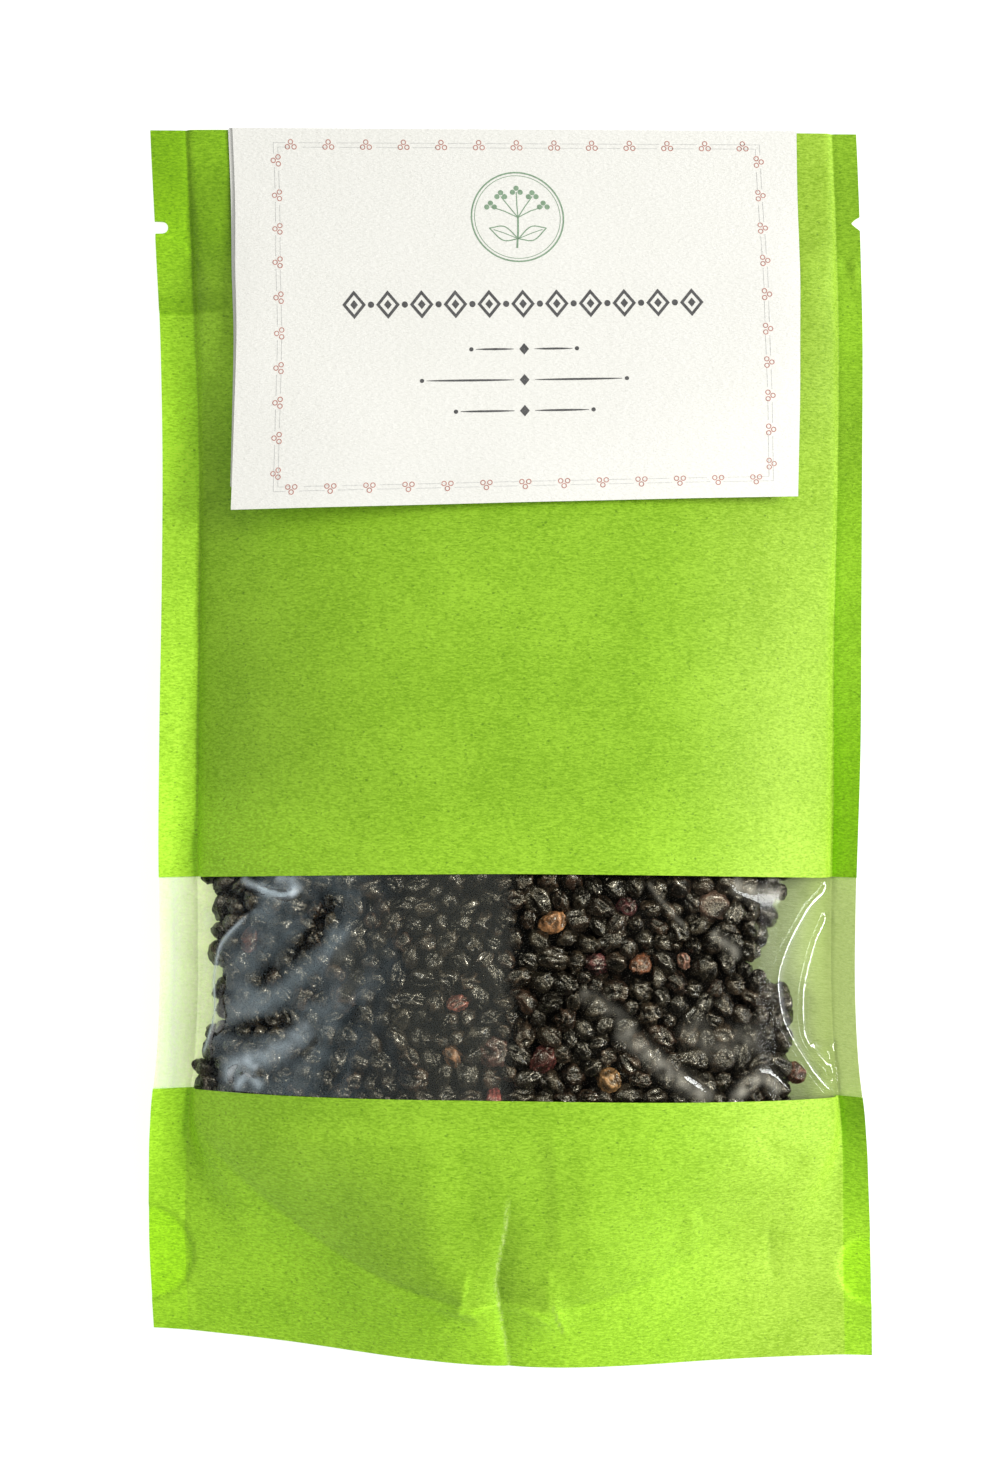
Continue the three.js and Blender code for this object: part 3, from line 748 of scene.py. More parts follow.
def add_front(name, node, low, high, step, columns, extra, edge=None):
    v = rows_between(low, high, step, extra)
    x = across(v, columns, 10, edge(v) if edge else None)
    v = v[:, None] + 0 * x
    relief = paper_relief(x, v)
    top = front_outer(x, v) + relief
    under = mix(top - PAPER, back_outer(x, v) + PAPER + 0.01 + relief * 0.5, welded(x, v))
    under = np.minimum(under, top - PAPER / 2)
    piece = closed_sheet(name, (x, v, top), (x, v, under), [green, inside])
    paint(piece, "paper", *paper_wear_and_painted_light(x, v), 1)
    keep(piece, "paper_laminate", node)


def back_relief(x, v):
    """The slight waves of the back, where it doesn't lie on the table."""
    relief = 0.12 * (1 + waves(x, v, 26, 21, 1.3)) * (1 - smooth(share(x, v), 0.8, 1))
    return np.maximum(0, relief) * smooth(back_outer(x, v), -1, 1)


def back_inner(x, v):
    return back_outer(x, v) + back_relief(x, v) + PAPER + 0.02


def add_back():
    v = rows_between(0, HEIGHT, 3.0, notch_rows())
    x = across(v, 84, 5, notched_edge(v))
    v = v[:, None] + 0 * x
    q = share(x, v)
    bottom = back_outer(x, v) + back_relief(x, v)
    piece = closed_sheet("back_paper", (x, v, bottom + PAPER), (x, v, bottom), [inside, plain_green])
    end = smooth(q, 0.85, 0.98)  # shows beyond the heap: painted light on the left, where the film lies on it, and painted shade, darker and deeper green, on the right
    tone = by_side(x, 0.42 * end, -0.31 * end) + 0.10 * (x > 0) * smooth(q, 0.99, 1.01)
    # a painted highlight line along the film's fold at the left end
    painted_highlight_line = 0.4 * bell(x + 64.6 - 0.03 * (v - 70), 0.8)
    paint(piece, "paper", by_side(x, 0.6 * end + painted_highlight_line, 0), tone, by_side(x, 0, 0.44 * end), 1)
    keep(piece, "paper_laminate", "back_panel")


def fold_depth(opening):
    """How far up the base's fold reaches: less where the foot stands open. opening is half of that gap."""
    return GUSSET - 4 * smooth(opening, 0, 8)


def lower_leaf(x, v):
    """Height of the folded base's lower leaf."""
    low, high = back_inner(x, v), front_outer(x, v) - PAPER - CLEAR
    opening = np.maximum(CLEAR, (front_outer(x, 0 * x) - back_inner(x, 0 * x)) / 2)
    part = np.sqrt(np.clip(1 - (v / fold_depth(opening)) ** 2, 0, 1))
    return (low + high) / 2 - np.minimum(opening, (high - low) / 2) * part


def gusset_grid(a, turns, inset):
    """Points of the folded base: a goes across it and turns round its section, inset from its surface."""
    x = a * 70.5
    top = front_outer(x, 0 * x) + np.minimum(0, paper_relief(x, 0 * x)) - PAPER - CLEAR
    opening = np.maximum(CLEAR, (top - back_inner(x, 0 * x)) / 2)
    v = np.maximum(0, (fold_depth(opening) - inset) * np.cos(turns))
    punch = np.maximum(0, np.sqrt(np.maximum(0, BASE_PUNCH_RADIUS**2 - (v - BASE_PUNCH) ** 2)) - 1.5)
    x = a * (half_width(v) - punch * smooth(np.abs(a), 0.85, 1) - 0.05)
    dent = np.minimum(0, paper_relief(x, v))
    top = front_outer(x, v) + 1.15 * dent - PAPER - CLEAR - 0.2 * smooth(-dent, 0, 0.3)
    low = back_inner(x, v)
    gap = np.maximum(0.09, np.minimum(opening, (top - low) / 2))
    return x, v, (top + low) / 2 + (gap - inset) * np.sin(turns)


def add_gusset():
    """The base's folded sheet: half an ellipse in section, closed to two leaves at the side seals."""
    turns = np.concatenate([np.linspace(90, 12, 40), np.linspace(9, -9, 7), np.linspace(-12, -90, 40)])
    a, turns = np.meshgrid(np.linspace(-1, 1, 93), np.radians(turns))
    outer, inner = ([g.T for g in gusset_grid(a, turns, inset)] for inset in (0, PAPER * 0.6))
    piece = closed_sheet("base_fold", outer, inner, [plain_green, inside], second=0)
    keep(piece, "paper_laminate", "base_gusset")


upper_rows = [WINDOW_TOP + 0.15, WINDOW_TOP + 0.35, *np.arange(198, 219, 0.5), *notch_rows()]
lower_rows = [WINDOW_BOTTOM - 0.15, WINDOW_BOTTOM - 0.35]
add_front("front_paper_upper", "front_panel_upper", WINDOW_TOP, HEIGHT, 1.5, 130, upper_rows, notched_edge)
add_front("front_paper_lower", "front_panel_lower", 0, WINDOW_BOTTOM, 0.5, 250, lower_rows)
add_back()
add_gusset()

# ---- the film --------------------
FILM_STEP = 0.5
# Half widths of the heap of berries, left and right of the middle.
heap_left = profile(
    (40, 61.4), (51, 61.2), (58.6, 59.9), (64.9, 56.8), (69.6, 57.3), (75.5, 56.2), (78.8, 59.1),
    (83.9, 55.2), (87.8, 59.1), (100, 58),
)
heap_right = profile(
    (40, 56.5), (52.5, 56.8), (56.4, 57.3), (59.3, 55.2), (63.3, 54.4), (68.6, 55.9), (72.1, 49.6),
    (75.9, 46.2), (78.7, 48.8), (84.5, 51.5), (90.8, 54.4), (100, 56),
)
# The long sharp folds at the right end, which catch the light: their points, height and gloss.
STREAKS = (
    ([(62.2, 91.5), (61.1, 89.1), (58.2, 86.3), (55.6, 82.4), (53.4, 78.6), (51.5, 72.8), (52.4, 66.1),
      (54.6, 61.5), (58.7, 55.5), (63.0, 50.8), (64.6, 49)], 0.62, 1.9),
    ([(62.2, 85.6), (61.3, 83.2), (59.4, 79.5), (57.4, 72.8), (56.8, 68.1), (57.1, 62.8), (58.4, 60.0),
      (60.8, 57.6), (63.0, 54.6), (64.2, 50.4)], 0.54, 1.6),
    ([(58.4, 60.1), (61.0, 60.4), (63.3, 59.8), (63.0, 57.2), (63.3, 53.5)], 0.48, 1.3),
)
# A row of the tables below holds a line's points, its width, and its height or strength.
LONG_FOLD = [(20, 64), (26, 59), (33, 53.5), (39, 50.3)]
FILM_FOLDS = (
    (LONG_FOLD, 1.5, 0.7),
    ([(-56, 60), (-46, 66), (-34, 76), (-26, 86)], 3.0, 0.55),
    ([(-57, 72), (-48, 76), (-38, 84), (-32, 91)], 2.4, -0.45),
    ([(-54, 56), (-42, 60), (-30, 68), (-20, 78)], 2.6, -0.40),
    ([(-53, 63), (-47, 63.8), (-42, 65)], 1.1, -0.5),
    ([(-51, 91.4), (-46.5, 89.4), (-42, 88.4), (-39, 89.6)], 0.9, 0.9),
    ([(-53, 51.5), (-50.5, 55), (-46, 53.4)], 1.2, 0.9),
    ([(-45, 56), (-40, 58.5), (-35, 62)], 1.3, 0.6),
)
# Hard bends: how far the film falls away on each side (left and right of the line's way), and its height.
RIM = [(-48, 85.8), (-53.6, 80.6), (-55.4, 77.3), (-56.4, 72.5), (-56.2, 66), (-57.5, 60.6), (-59, 56.8)]
FILM_BENDS = (
    (RIM, 1.4, 0.7, 0.5),
    ([(-63.8, 88), (-63.2, 80), (-63.6, 70), (-64.2, 60), (-64.8, 54)], 0.7, 0.7, 0.3),
    ([(41, 91), (43, 88.6), (48, 87.3), (54, 88.4)], 0.8, 1.8, 0.4),
    ([(40, 52), (44, 54.6), (49, 55.4), (53, 52.6), (55, 50.2)], 2.0, 1.0, 0.7),
)
# Brighter and duller lines of the part that clings to the heap.
VEIL_LINES = (
    ([(-55, 66), (-46, 68), (-37, 75), (-28, 83)], 2.6, 0.75),
    ([(-56, 61.5), (-50, 63), (-44, 63.6), (-40, 65)], 1.5, -1.2),
    ([(-50, 70), (-42, 74), (-36, 81), (-32, 90)], 2.2, -0.75),
    ([(-34, 62), (-27, 72), (-22, 82)], 2.4, 0.45),
    ([(-51, 91.8), (-48.6, 90.4), (-45, 88.9), (-41.5, 88.3), (-39.2, 90)], 0.8, 3.0),
    ([(-41, 92), (-39.6, 90), (-39.4, 88.4)], 0.7, 1.6),
    ([(-54, 52.6), (-52, 56), (-47.5, 56.6), (-42, 59), (-36.5, 63.5)], 1.5, 1.5),
    ([(-52, 50.6), (-49.5, 53.4), (-46, 51)], 1.2, 1.6),
    ([(-34, 50), (-31, 60), (-27, 68)], 2.2, -0.5),
    ([(-56.6, 74), (-55, 80), (-50.5, 84)], 1.2, 0.7),
)
# Folds of the clear part that mirror.
GLINTS = (
    ([(40.5, 90), (44, 88.6), (49, 87.6), (54.5, 88.6)], 1.3, 0.35),
    (LONG_FOLD, 1.6, 0.9),
    ([(41, 52), (45, 54.4), (50, 54.6), (54, 51)], 0.8, 1.3),
    ([(36, 80), (40, 77.5), (43, 75.5)], 1.0, 0.3),
)
# Milky patches: scuffs and crumples of the film, and painted glare where its folds mirror the light.
HAZE_AND_GLARE_PATCHES = (
    ([(-51, 91.9), (-48.8, 90.6), (-45, 89.0), (-41.6, 88.2), (-39.3, 90)], 0.6, 0.38),
    ([(-44, 92), (-41, 90.4), (-39, 88.6)], 1.1, 0.24),
    ([(-53.5, 51.6), (-52.6, 54.6), (-50, 56.4), (-47, 55)], 0.8, 0.34),
    ([(-52, 50.2), (-49.4, 53.6), (-46.4, 51.4)], 0.7, 0.30),
    ([(-51, 57.4), (-45.5, 57.4), (-41, 60.4), (-36.4, 63.6)], 1.7, 0.12),
    ([(13, 70.5), (19, 67), (24, 62.5)], 1.2, 0.035),
    ([(33, 66), (38, 60.5), (44, 61.5), (49, 62)], 2.4, 0.03),
    ([(38, 81.6), (41.5, 79.2), (44, 76.5)], 0.8, 0.08),
    ([(26, 91), (29, 87), (33.5, 82)], 0.4, 0.04),
    (LONG_FOLD, 1.3, 0.10),
    ([(42, 49.5), (45.5, 53.4), (49, 54.6), (52, 51)], 1.1, 0.10),
    ([(42, 91), (46, 89), (53, 88.6)], 1.2, 0.10),
)


def in_window(v, start, full):
    """1 in the window, rising between two distances inside its edges."""
    return span(v, WINDOW_BOTTOM + start, WINDOW_BOTTOM + full, WINDOW_TOP - full, WINDOW_TOP - start)


def film_bulge(x, v):
    """The film is pushed out where it runs over the heap's two ends, and drops beyond them."""
    over = by_side(x, x + heap_left(v), 53.5 - x)
    left = 1.5 * smooth(over, -2.2, 4) * smooth(-x, 36, 54)
    right = 1.0 * smooth(over, -6, 4) * smooth(x, 30, 48)
    return (left + right) * (0.35 + 0.65 * in_window(v, -1, 8)) * (1 - smooth(share(x, v), 0.93, 1))


def film_outer(x, v):
    """The film, which sags a little between the paper's edges and bulges near its ends."""
    sag = 0.5 * in_window(v, 0, 7) * (1 - welded(x, v))
    return front_outer(x, v) - PAPER - 0.03 - sag + film_bulge(x, v)


def film_relief(x, v):
    inner = (1 - smooth(share(x, v), 0.9, 1.0)) * in_window(v, 0, 4)
    calm = smooth(np.abs(x), 3, 26) * (1 - 0.75 * smooth(x, 36, 48))  # it is drawn tight in the middle
    z = (0.12 * waves(x, v, 17, 31) + 0.03 * waves(x, v, 5.2, 32)) * inner * calm
    z = z + (0.10 * waves(x, v, 9.5, 33) + 0.03 * waves(x, v, 3.6, 34)) * inner * smooth(-x, 24, 34)
    folds = ridges(x, v, FILM_FOLDS, 0.25)
    steeper = 1 + 0.6 * smooth(x - inner_line(x, v), -1.5, 0.5)  # the seal leans the other way
    for points, height, _ in STREAKS:
        folds = folds + ridge(x, v, points, 0.74, height, 0.08) * steeper
    for points, left, right, height in FILM_BENDS:
        d, along = distance(x, v, points)
        folds = folds + height * side_fall(d, left, right) * span(along, 0, 0.12, 0.88, 1)
    return z + folds * in_window(v, -0.5, 1.5)


def over_the_heap(x, v, d):
    """1 where the film lies on the heap; d is the distance from its left rim."""
    (_, rim_top), (_, rim_foot) = RIM[0], RIM[-1]
    inside_rim = smooth(d, -0.2, 0.25)  # the line runs down the pouch, so its left is towards the middle
    inside_rim = np.where(v > rim_top, smooth(x, -48.5, -46), inside_rim)
    inside_rim = np.where(v < rim_foot, smooth(x, -56, -54), inside_rim)
    return np.where(x < -30, inside_rim, 1)


def film_tone(x, v):
    """How strongly the film mirrors and how milky it is: it clings to the heap and is scuffed in places, and
    its milkiness partly paints reflection, glare and highlights.
    """
    d, along = distance(x, v, RIM)
    over_heap = over_the_heap(x, v, d)
    end = smooth(-x - heap_left(v), -0.5, 2.5)
    west = smooth(-x, 20, 34)
    veil = 0.66 + west * (0.22 + 0.26 * waves(x, v, 11, 35) + 0.16 * waves(x, v, 4.5, 37, 1.6))
    veil = veil + west * 0.9 * bell(d, 0.4) * smooth(along, 0.02, 0.15) + ridges(x, v, VEIL_LINES, 0.12)
    gloss = np.maximum(0.08, veil) * over_heap + mix(0.12, 0.8, end) * (1 - over_heap)
    # towards the right end the film is clear, and mirrors along its folds alone
    streaks = [ridge(x, v, points, 0.7, strength, 0.03) for points, _, strength in STREAKS]
    streaks += [ridge(x, v, *row, 0.3) for row in GLINTS]
    clear = smooth(x + 0.8 * waves(x, v, 14, 39), -1.5, 3.5)
    gloss = mix(gloss, np.maximum(0.03, np.max(streaks, axis=0)), clear)
    # it is a little milky all over. The milkiness also paints the reflection over the heap's left end, the
    # bright end beyond it with streaks of painted highlight, a painted highlight along its torn-looking rim,
    # a faint veil of painted reflection in the middle, and patches of glare
    bands = 0.5 + 0.5 * np.sin(x * 2.6 + 0.4 * waves(x, v, 20, 36))
    haze_and_glare = 0.02 * west * over_heap * np.clip(veil - 0.8, 0, 1.6)
    haze_and_glare = haze_and_glare + end * (0.03 + 0.10 * smooth(-x, 60.5, 64.5) * (0.55 + 0.45 * bands))
    haze_and_glare = haze_and_glare + 0.42 * bell(d, 0.26) * span(along, 0.02, 0.1, 0.94, 1) * west
    haze_and_glare = haze_and_glare + 0.004 * (1 - smooth(x, -1.5, 3.5)) * (1 - west)
    haze_and_glare = haze_and_glare + ridges(x, v, HAZE_AND_GLARE_PATCHES, 0.12) * (0.7 + 0.3 * waves(x, v, 2.6, 38))
    return gloss, haze_and_glare


def add_film():
    v = rows_between(WINDOW_BOTTOM - OVERLAP, WINDOW_TOP + OVERLAP, FILM_STEP)[:, None]
    part = np.linspace(0, 1, 49)[1:-1]  # more columns at the two ends, for the sharp folds there
    right_end, left_end = mix(49.0, half_width(v) - 0.4, part), mix(-60.0, -40.0, part) + 0 * v
    x = np.sort(np.concatenate([across(v[:, 0], 230, 8), right_end, left_end], 1), axis=1)
    v = v + 0 * x
    under_paper = 1 - in_window(v, -0.3, 0.4)
    plain = front_outer(x, v) - PAPER - 0.06 + np.minimum(0, paper_relief(x, v))
    top = mix(film_outer(x, v) + film_relief(x, v), plain, under_paper)
    piece = closed_sheet("film_strip", (x, v, top), (x, v, top - FILM), [film])
    paint(piece, "film", *film_tone(x, v), smooth(x, -4, 8), 1)
    keep(piece, "clear_film", "window_film")


film = film_material()
add_film()

# ---- dried berries --------------------
draw = np.random.default_rng(23)


def unit_rows(rows):
    return rows / np.linalg.norm(rows, axis=1)[:, None]


def wrinkled_ball(level, seed, cells=22):
    """A berry of about one unit, its faces, and how far each point stands out of a hollow (0 to 1). Its skin
    has dried to sharp ridges round sunken hollows, which run along its long axis, z."""
    ball = bmesh.new()
    bmesh.ops.create_icosphere(ball, subdivisions=level, radius=1)
    p = np.array([tuple(q.co) for q in ball.verts])
    faces = np.array([[q.index for q in f.verts] for f in ball.faces])
    ball.free()
    own = np.random.default_rng(seed)
    warped = p
    for _ in range(3):
        k, phase = own.normal(0, 2.0, 3), own.uniform(0, 6.28, 3)
        warped = warped + 0.13 * np.sin((p @ k)[:, None] + phase)
    middles = unit_rows(own.normal(0, 1, (cells, 3)))
    away = np.linalg.norm((warped[:, None, :] - middles) * (1, 1, 0.5), axis=2)
    order = np.argsort(away, axis=1)[:, :2]
    first, second = np.take_along_axis(away, order, 1).T
    crest = np.exp(-(second - first) / 0.16)
    hollow = own.uniform(0.25, 1.5, cells)[order[:, 0]] * bell(first, 0.34)
    big = unit_rows(own.normal(0, 1, (3, 3)))
    sunk = sum(own.uniform(0.05, 0.3) * np.exp(-((1 - p @ k) / 0.35)) for k in big)
    lumps = 0.06 * np.sin(p @ own.normal(0, 1.8, 3) + own.uniform(0, 6))
    out = p * (1.0 + lumps + 0.14 * crest - 0.23 * hollow - sunk)[:, None]
    # the crown where the flower was, at one end
    out[:, 2] += 0.10 * bell(p[:, 2] - 0.94, 0.03) - 0.20 * smooth(p[:, 2], 0.965, 1.0)
    return out, faces, np.clip(0.25 + 0.75 * crest - 0.35 * hollow - 0.6 * sunk, 0, 1)


# Shapes for the berries in plain view, for those half hidden, and for those deep down.
FINE = [wrinkled_ball(4, 100 + k) for k in range(16)]
PLAIN = [wrinkled_ball(3, 200 + k) for k in range(8)]
ROUGH = [wrinkled_ball(2, 300 + k) for k in range(4)]

DENT_STEP, DENT_X, DENT_V = 0.4, (-64, 64), (46, 97)
DENTS = np.minimum(0, film_relief(*np.meshgrid(np.arange(*DENT_X, DENT_STEP), np.arange(*DENT_V, DENT_STEP))))


def dent(x, v):
    """How far the film is dented at a point."""
    i = np.clip((np.asarray(x) - DENT_X[0]) / DENT_STEP, 0, DENTS.shape[1] - 1.001)
    j = np.clip((np.asarray(v) - DENT_V[0]) / DENT_STEP, 0, DENTS.shape[0] - 1.001)
    i0, j0 = i.astype(int), j.astype(int)
    low, high = (mix(DENTS[j0 + k, i0], DENTS[j0 + k, i0 + 1], i - i0) for k in (0, 1))
    return mix(low, high, j - j0)


def roof(x, v):
    """As high as the berries reach: lower where paper hides them, so that none shows through it."""
    hidden = 1 - in_window(v, -1.2, 0.6)
    return film_outer(x, v) + dent(x, v) - FILM - 0.22 - 0.7 * hidden


def heap_floor(x, v):
    return back_inner(x, v) + 0.2


LAYERS = ((0.0, 4.1), (3.3, 4.4))  # depth under the roof, and distance between neighbours
BERRY_RADIUS, RADIUS_SPREAD, RADIUS_LIMITS = 2.3, 0.38, (1.6, 3.0)
ROUNDS, TOUCH, PUSH = 60, 0.90, 0.28  # rounds of pushing apart, how close two may lie, and how hard they push


def scattered():
    """A rough grid of berries in two layers: x, v, depth under the roof, radius and layer for each."""
    for layer, (depth, pitch) in enumerate(LAYERS):
        row, v = 0, 47.0
        while v < 96:
            x = -62.0 + (row % 2) * pitch / 2 + layer * pitch / 3
            while x < 60:
                at = (x + draw.uniform(-1.4, 1.4), v + draw.uniform(-1.2, 1.2))
                yield *at, depth, draw.normal(BERRY_RADIUS, RADIUS_SPREAD), layer
                x += pitch
            v += pitch * 0.86
            row += 1


def pack_berries():
    """Berries pushed apart under the film: their middles, radii and layers (0 is the upper one)."""
    berries = np.array(list(scattered())).T
    berries[3] = np.clip(berries[3], *RADIUS_LIMITS)
    x, v, _, r, _ = berries
    x, v, depth, r, layer = berries[:, (x > r * 0.7 - heap_left(v)) & (x < heap_right(v) - r * 0.7)]
    p = np.stack([x, v, roof(x, v) - r - depth], 1)
    for _ in range(ROUNDS):
        delta = p[:, None, :] - p[None, :, :]
        gap = np.sqrt((delta**2).sum(-1)) + np.eye(len(p)) * 99
        want = (r[:, None] + r[None, :]) * TOUCH
        push = np.maximum(0, want - gap) / gap * PUSH
        p = p + (delta * push[:, :, None]).sum(1)
        x, v = p[:, 0], p[:, 1]
        x[:] = np.clip(x, r * 0.95 - heap_left(v), heap_right(v) - r * 0.95)
        v[:] = np.clip(v, 46, 96.5)
        slope = (roof(x + 1, v) - roof(x - 1, v)) / 2
        z = np.minimum(p[:, 2] + np.where(layer == 0, 0.12, 0.05), roof(x, v) - r * 0.92 * np.hypot(1, slope))
        p[:, 2] = np.maximum(z, heap_floor(x, v) + 0.7 * r)
    return p, r, layer


# Odd berries: where they lie, their colour, and their size against the others.
ODD = (
    (7.6, 81.8, (0.40, 0.19, 0.08), 0.88), (18.9, 54.3, (0.35, 0.19, 0.075), 0.86),
    (8.1, 57.1, (0.11, 0.032, 0.028), 0.98), (-11.1, 67.7, (0.32, 0.11, 0.08), 0.9),
    (-10.9, 58.4, (0.24, 0.12, 0.06), 1.0), (24.3, 76.2, (0.20, 0.075, 0.035), 0.95),
    (34.2, 73.5, (0.34, 0.17, 0.12), 0.7), (14.8, 75.2, (0.11, 0.035, 0.035), 1.0),
    (37.1, 84.7, (0.085, 0.05, 0.036), 1.15), (55.1, 53.5, (0.14, 0.06, 0.03), 1.0),
    (56.2, 56.3, (0.12, 0.045, 0.03), 1.0), (-2.0, 57.5, (0.09, 0.04, 0.031), 1.0),
    (-50, 80, (0.11, 0.045, 0.035), 1.0), (-1.8, 51.5, (0.28, 0.07, 0.06), 0.7),
    (21, 87, (0.09, 0.025, 0.028), 1.0),
)
DARK, REDDISH = np.array([0.0060, 0.0047, 0.0029]), np.array([0.009, 0.0035, 0.002])


def berry_colour():
    redness = draw.random() ** 3
    return DARK * draw.uniform(0.4, 1.7) + REDDISH * redness


def berry_kind(layer, x, v):
    """The shapes that a berry is taken from, and the piece that it belongs to."""
    in_sight = WINDOW_BOTTOM - 1 <= v <= WINDOW_TOP + 1
    if layer == 0:
        piece = "berries_left" if x < -20 else "berries_middle" if x < 16 else "berries_right"
        return (FINE if in_sight else PLAIN), piece
    buried = WINDOW_BOTTOM < v < WINDOW_TOP and 6 - heap_left(v) < x < heap_right(v) - 6
    return (ROUGH if buried else PLAIN), "berries_under"


def berry_points(ball, centre, r):
    """Points of a berry, stretched, turned at random, and squashed where the pouch is too low for it."""
    shape = [draw.uniform(*limits) for limits in ((0.84, 1.04), (0.84, 1.04), (0.98, 1.32))]
    turn = np.array(Quaternion(draw.normal(0, 1, 4)).normalized().to_matrix())
    room = roof(*centre[:2]) - heap_floor(*centre[:2])
    flat = (1, 1, np.clip(room / (2.0 * r), 0.45, 1.0))
    x, v, z = ((ball * shape) @ turn.T * r * flat + centre).T
    return placed(x, v, np.minimum(z, roof(x, v) + 0.1))


def add_berries():
    centres, radii, layer = pack_berries()
    colours = np.array([berry_colour() for _ in centres])
    odd = []
    for x, v, colour, size in ODD:
        nearest = int(np.argmin(np.hypot(centres[:, 0] - x, centres[:, 1] - v) + 50 * (layer > 0)))
        colours[nearest] = 0.42 * np.array(colour)
        radii[nearest] *= size
        centres[nearest, 2] += 0.3
        odd.append(nearest)
    groups = {}
    for i, (centre, r) in enumerate(zip(centres, radii)):
        kind, key = berry_kind(layer[i], *centre[:2])
        ball, faces, stands = kind[i % len(kind)]
        if i in odd:
            stands = 0.2 + 0.6 * stands  # an odd berry gets less painted shade in its hollows, so it looks smoother
        verts, tris, skin = groups.setdefault(key, ([], [], []))
        tris.append(faces + sum(map(len, verts)))
        verts.append(berry_points(ball, centre, r))
        skin.append(np.column_stack([np.tile(colours[i], (len(ball), 1)), stands]))
    for key, (verts, tris, skin) in groups.items():
        piece = make_object(key, np.concatenate(verts), np.concatenate(tris), [berry_skin], sharp=0)
        paint(piece, "skin", *np.concatenate(skin).T)
        keep(piece, "dried_berry", "dried_elderberries")


def add_core():
    """The rest of the heap, seen only between the berries. Under the folded base it only fills the wedge
    between the fold's lower leaf and the back."""
    v = rows_between(10, 128, 2.2, [GUSSET + 0.6, GUSSET + 1.6])[:, None]
    near = np.clip(v, 40, 100)
    x = np.linspace(-1, 1, 80)
    x = x * (by_side(x, heap_left(near), heap_right(near)) - 2.5)
    v = v + 0 * x
    floor = heap_floor(x, v)
    top = mix(roof(x, v) - 5.6 + 0.5 * waves(x, v, 5, 41), floor, smooth(v, 102, 132))
    top = np.maximum(top, floor + 0.5)
    beside_fold = v < GUSSET + 1
    floor = np.where(beside_fold, back_inner(x, v) + 0.03, floor)
    top = np.where(beside_fold, np.maximum(floor + 0.04, lower_leaf(x, v) - 0.8), top)
    core = closed_sheet("berry_core", (x, v, top), (x, v, floor), [berry_skin])
    paint(core, "skin", 0.012, 0.009, 0.008, 0.6)
    keep(core, "dried_berry", "dried_elderberries")


berry_skin = berry_material()
add_berries()
add_core()

# ---- leaflet --------------------
LEAFLET_LEFT, LEAFLET_RIGHT = -53.5, 58
LEAF_WIDTH = LEAFLET_RIGHT - LEAFLET_LEFT
FRONT_LEAF, REAR_LEAF = 73.8, 72  # how far down each leaf reaches from the fold
ASKEW, BEND = 1.045, 2.6  # the front leaf is longer at its left edge, and its right edge leans inwards
PEEP = 0.9  # how far the rear leaf peeps out at the left
LEAF, SPRING, LEAF_SHEET = 0.4, 4, 0.14  # gap between the leaves, how far they spring open, and the paper
INK = 0.03


def leaflet_floor(x, v):
    bridged = np.where(x < 0, 0.75, 0.4) * smooth(HEIGHT - v, 0, 60)
    return mix(cad_front_outer(x, v), cad_front_outer(0 * x, v), bridged) + 0.12


def leaf_point(a, down, turn, outwards):
    """A point of the folded sheet; turn runs from 0 on the front leaf to pi on the rear one."""
    rear = turn > math.pi - 1e-6
    v = HEIGHT - down * np.where(rear, 1, mix(ASKEW, 1, a))
    right = LEAFLET_RIGHT - BEND * down / FRONT_LEAF
    x = mix(LEAFLET_LEFT, right, a) - PEEP * (1 - np.cos(turn)) / 2
    spread = LEAF + SPRING * smooth(down, 8, FRONT_LEAF) * (1 - a) ** 2
    reach = (spread + outwards * LEAF_SHEET) / 2
    wave = 0.10 * waves(a * 111, down, 42, 51) * smooth(down, 4, 25)
    z = leaflet_floor(x, v) + (LEAF + spread) / 2 + reach * np.cos(turn) + np.where(rear, 0, wave)
    return x, v + reach * np.sin(turn), z


def add_leaflet():
    front, fold, rear = 48, 10, 30
    leaves = np.linspace(FRONT_LEAF, 0, front), np.linspace(0, REAR_LEAF, rear)
    down = np.concatenate([leaves[0], np.zeros(fold - 1), leaves[1]])
    turn = np.concatenate([np.zeros(front), np.linspace(0, np.pi, fold + 1)[1:-1], np.full(rear, np.pi)])
    a, down = np.meshgrid(np.linspace(0, 1, 67), down)
    turn = turn[:, None] + 0 * a
    outer, inner = (leaf_point(a, down, turn, outwards) for outwards in (1, -1))
    keep(closed_sheet("leaflet_sheet", outer, inner, [white]), "leaflet_paper", "leaflet")


add_leaflet()


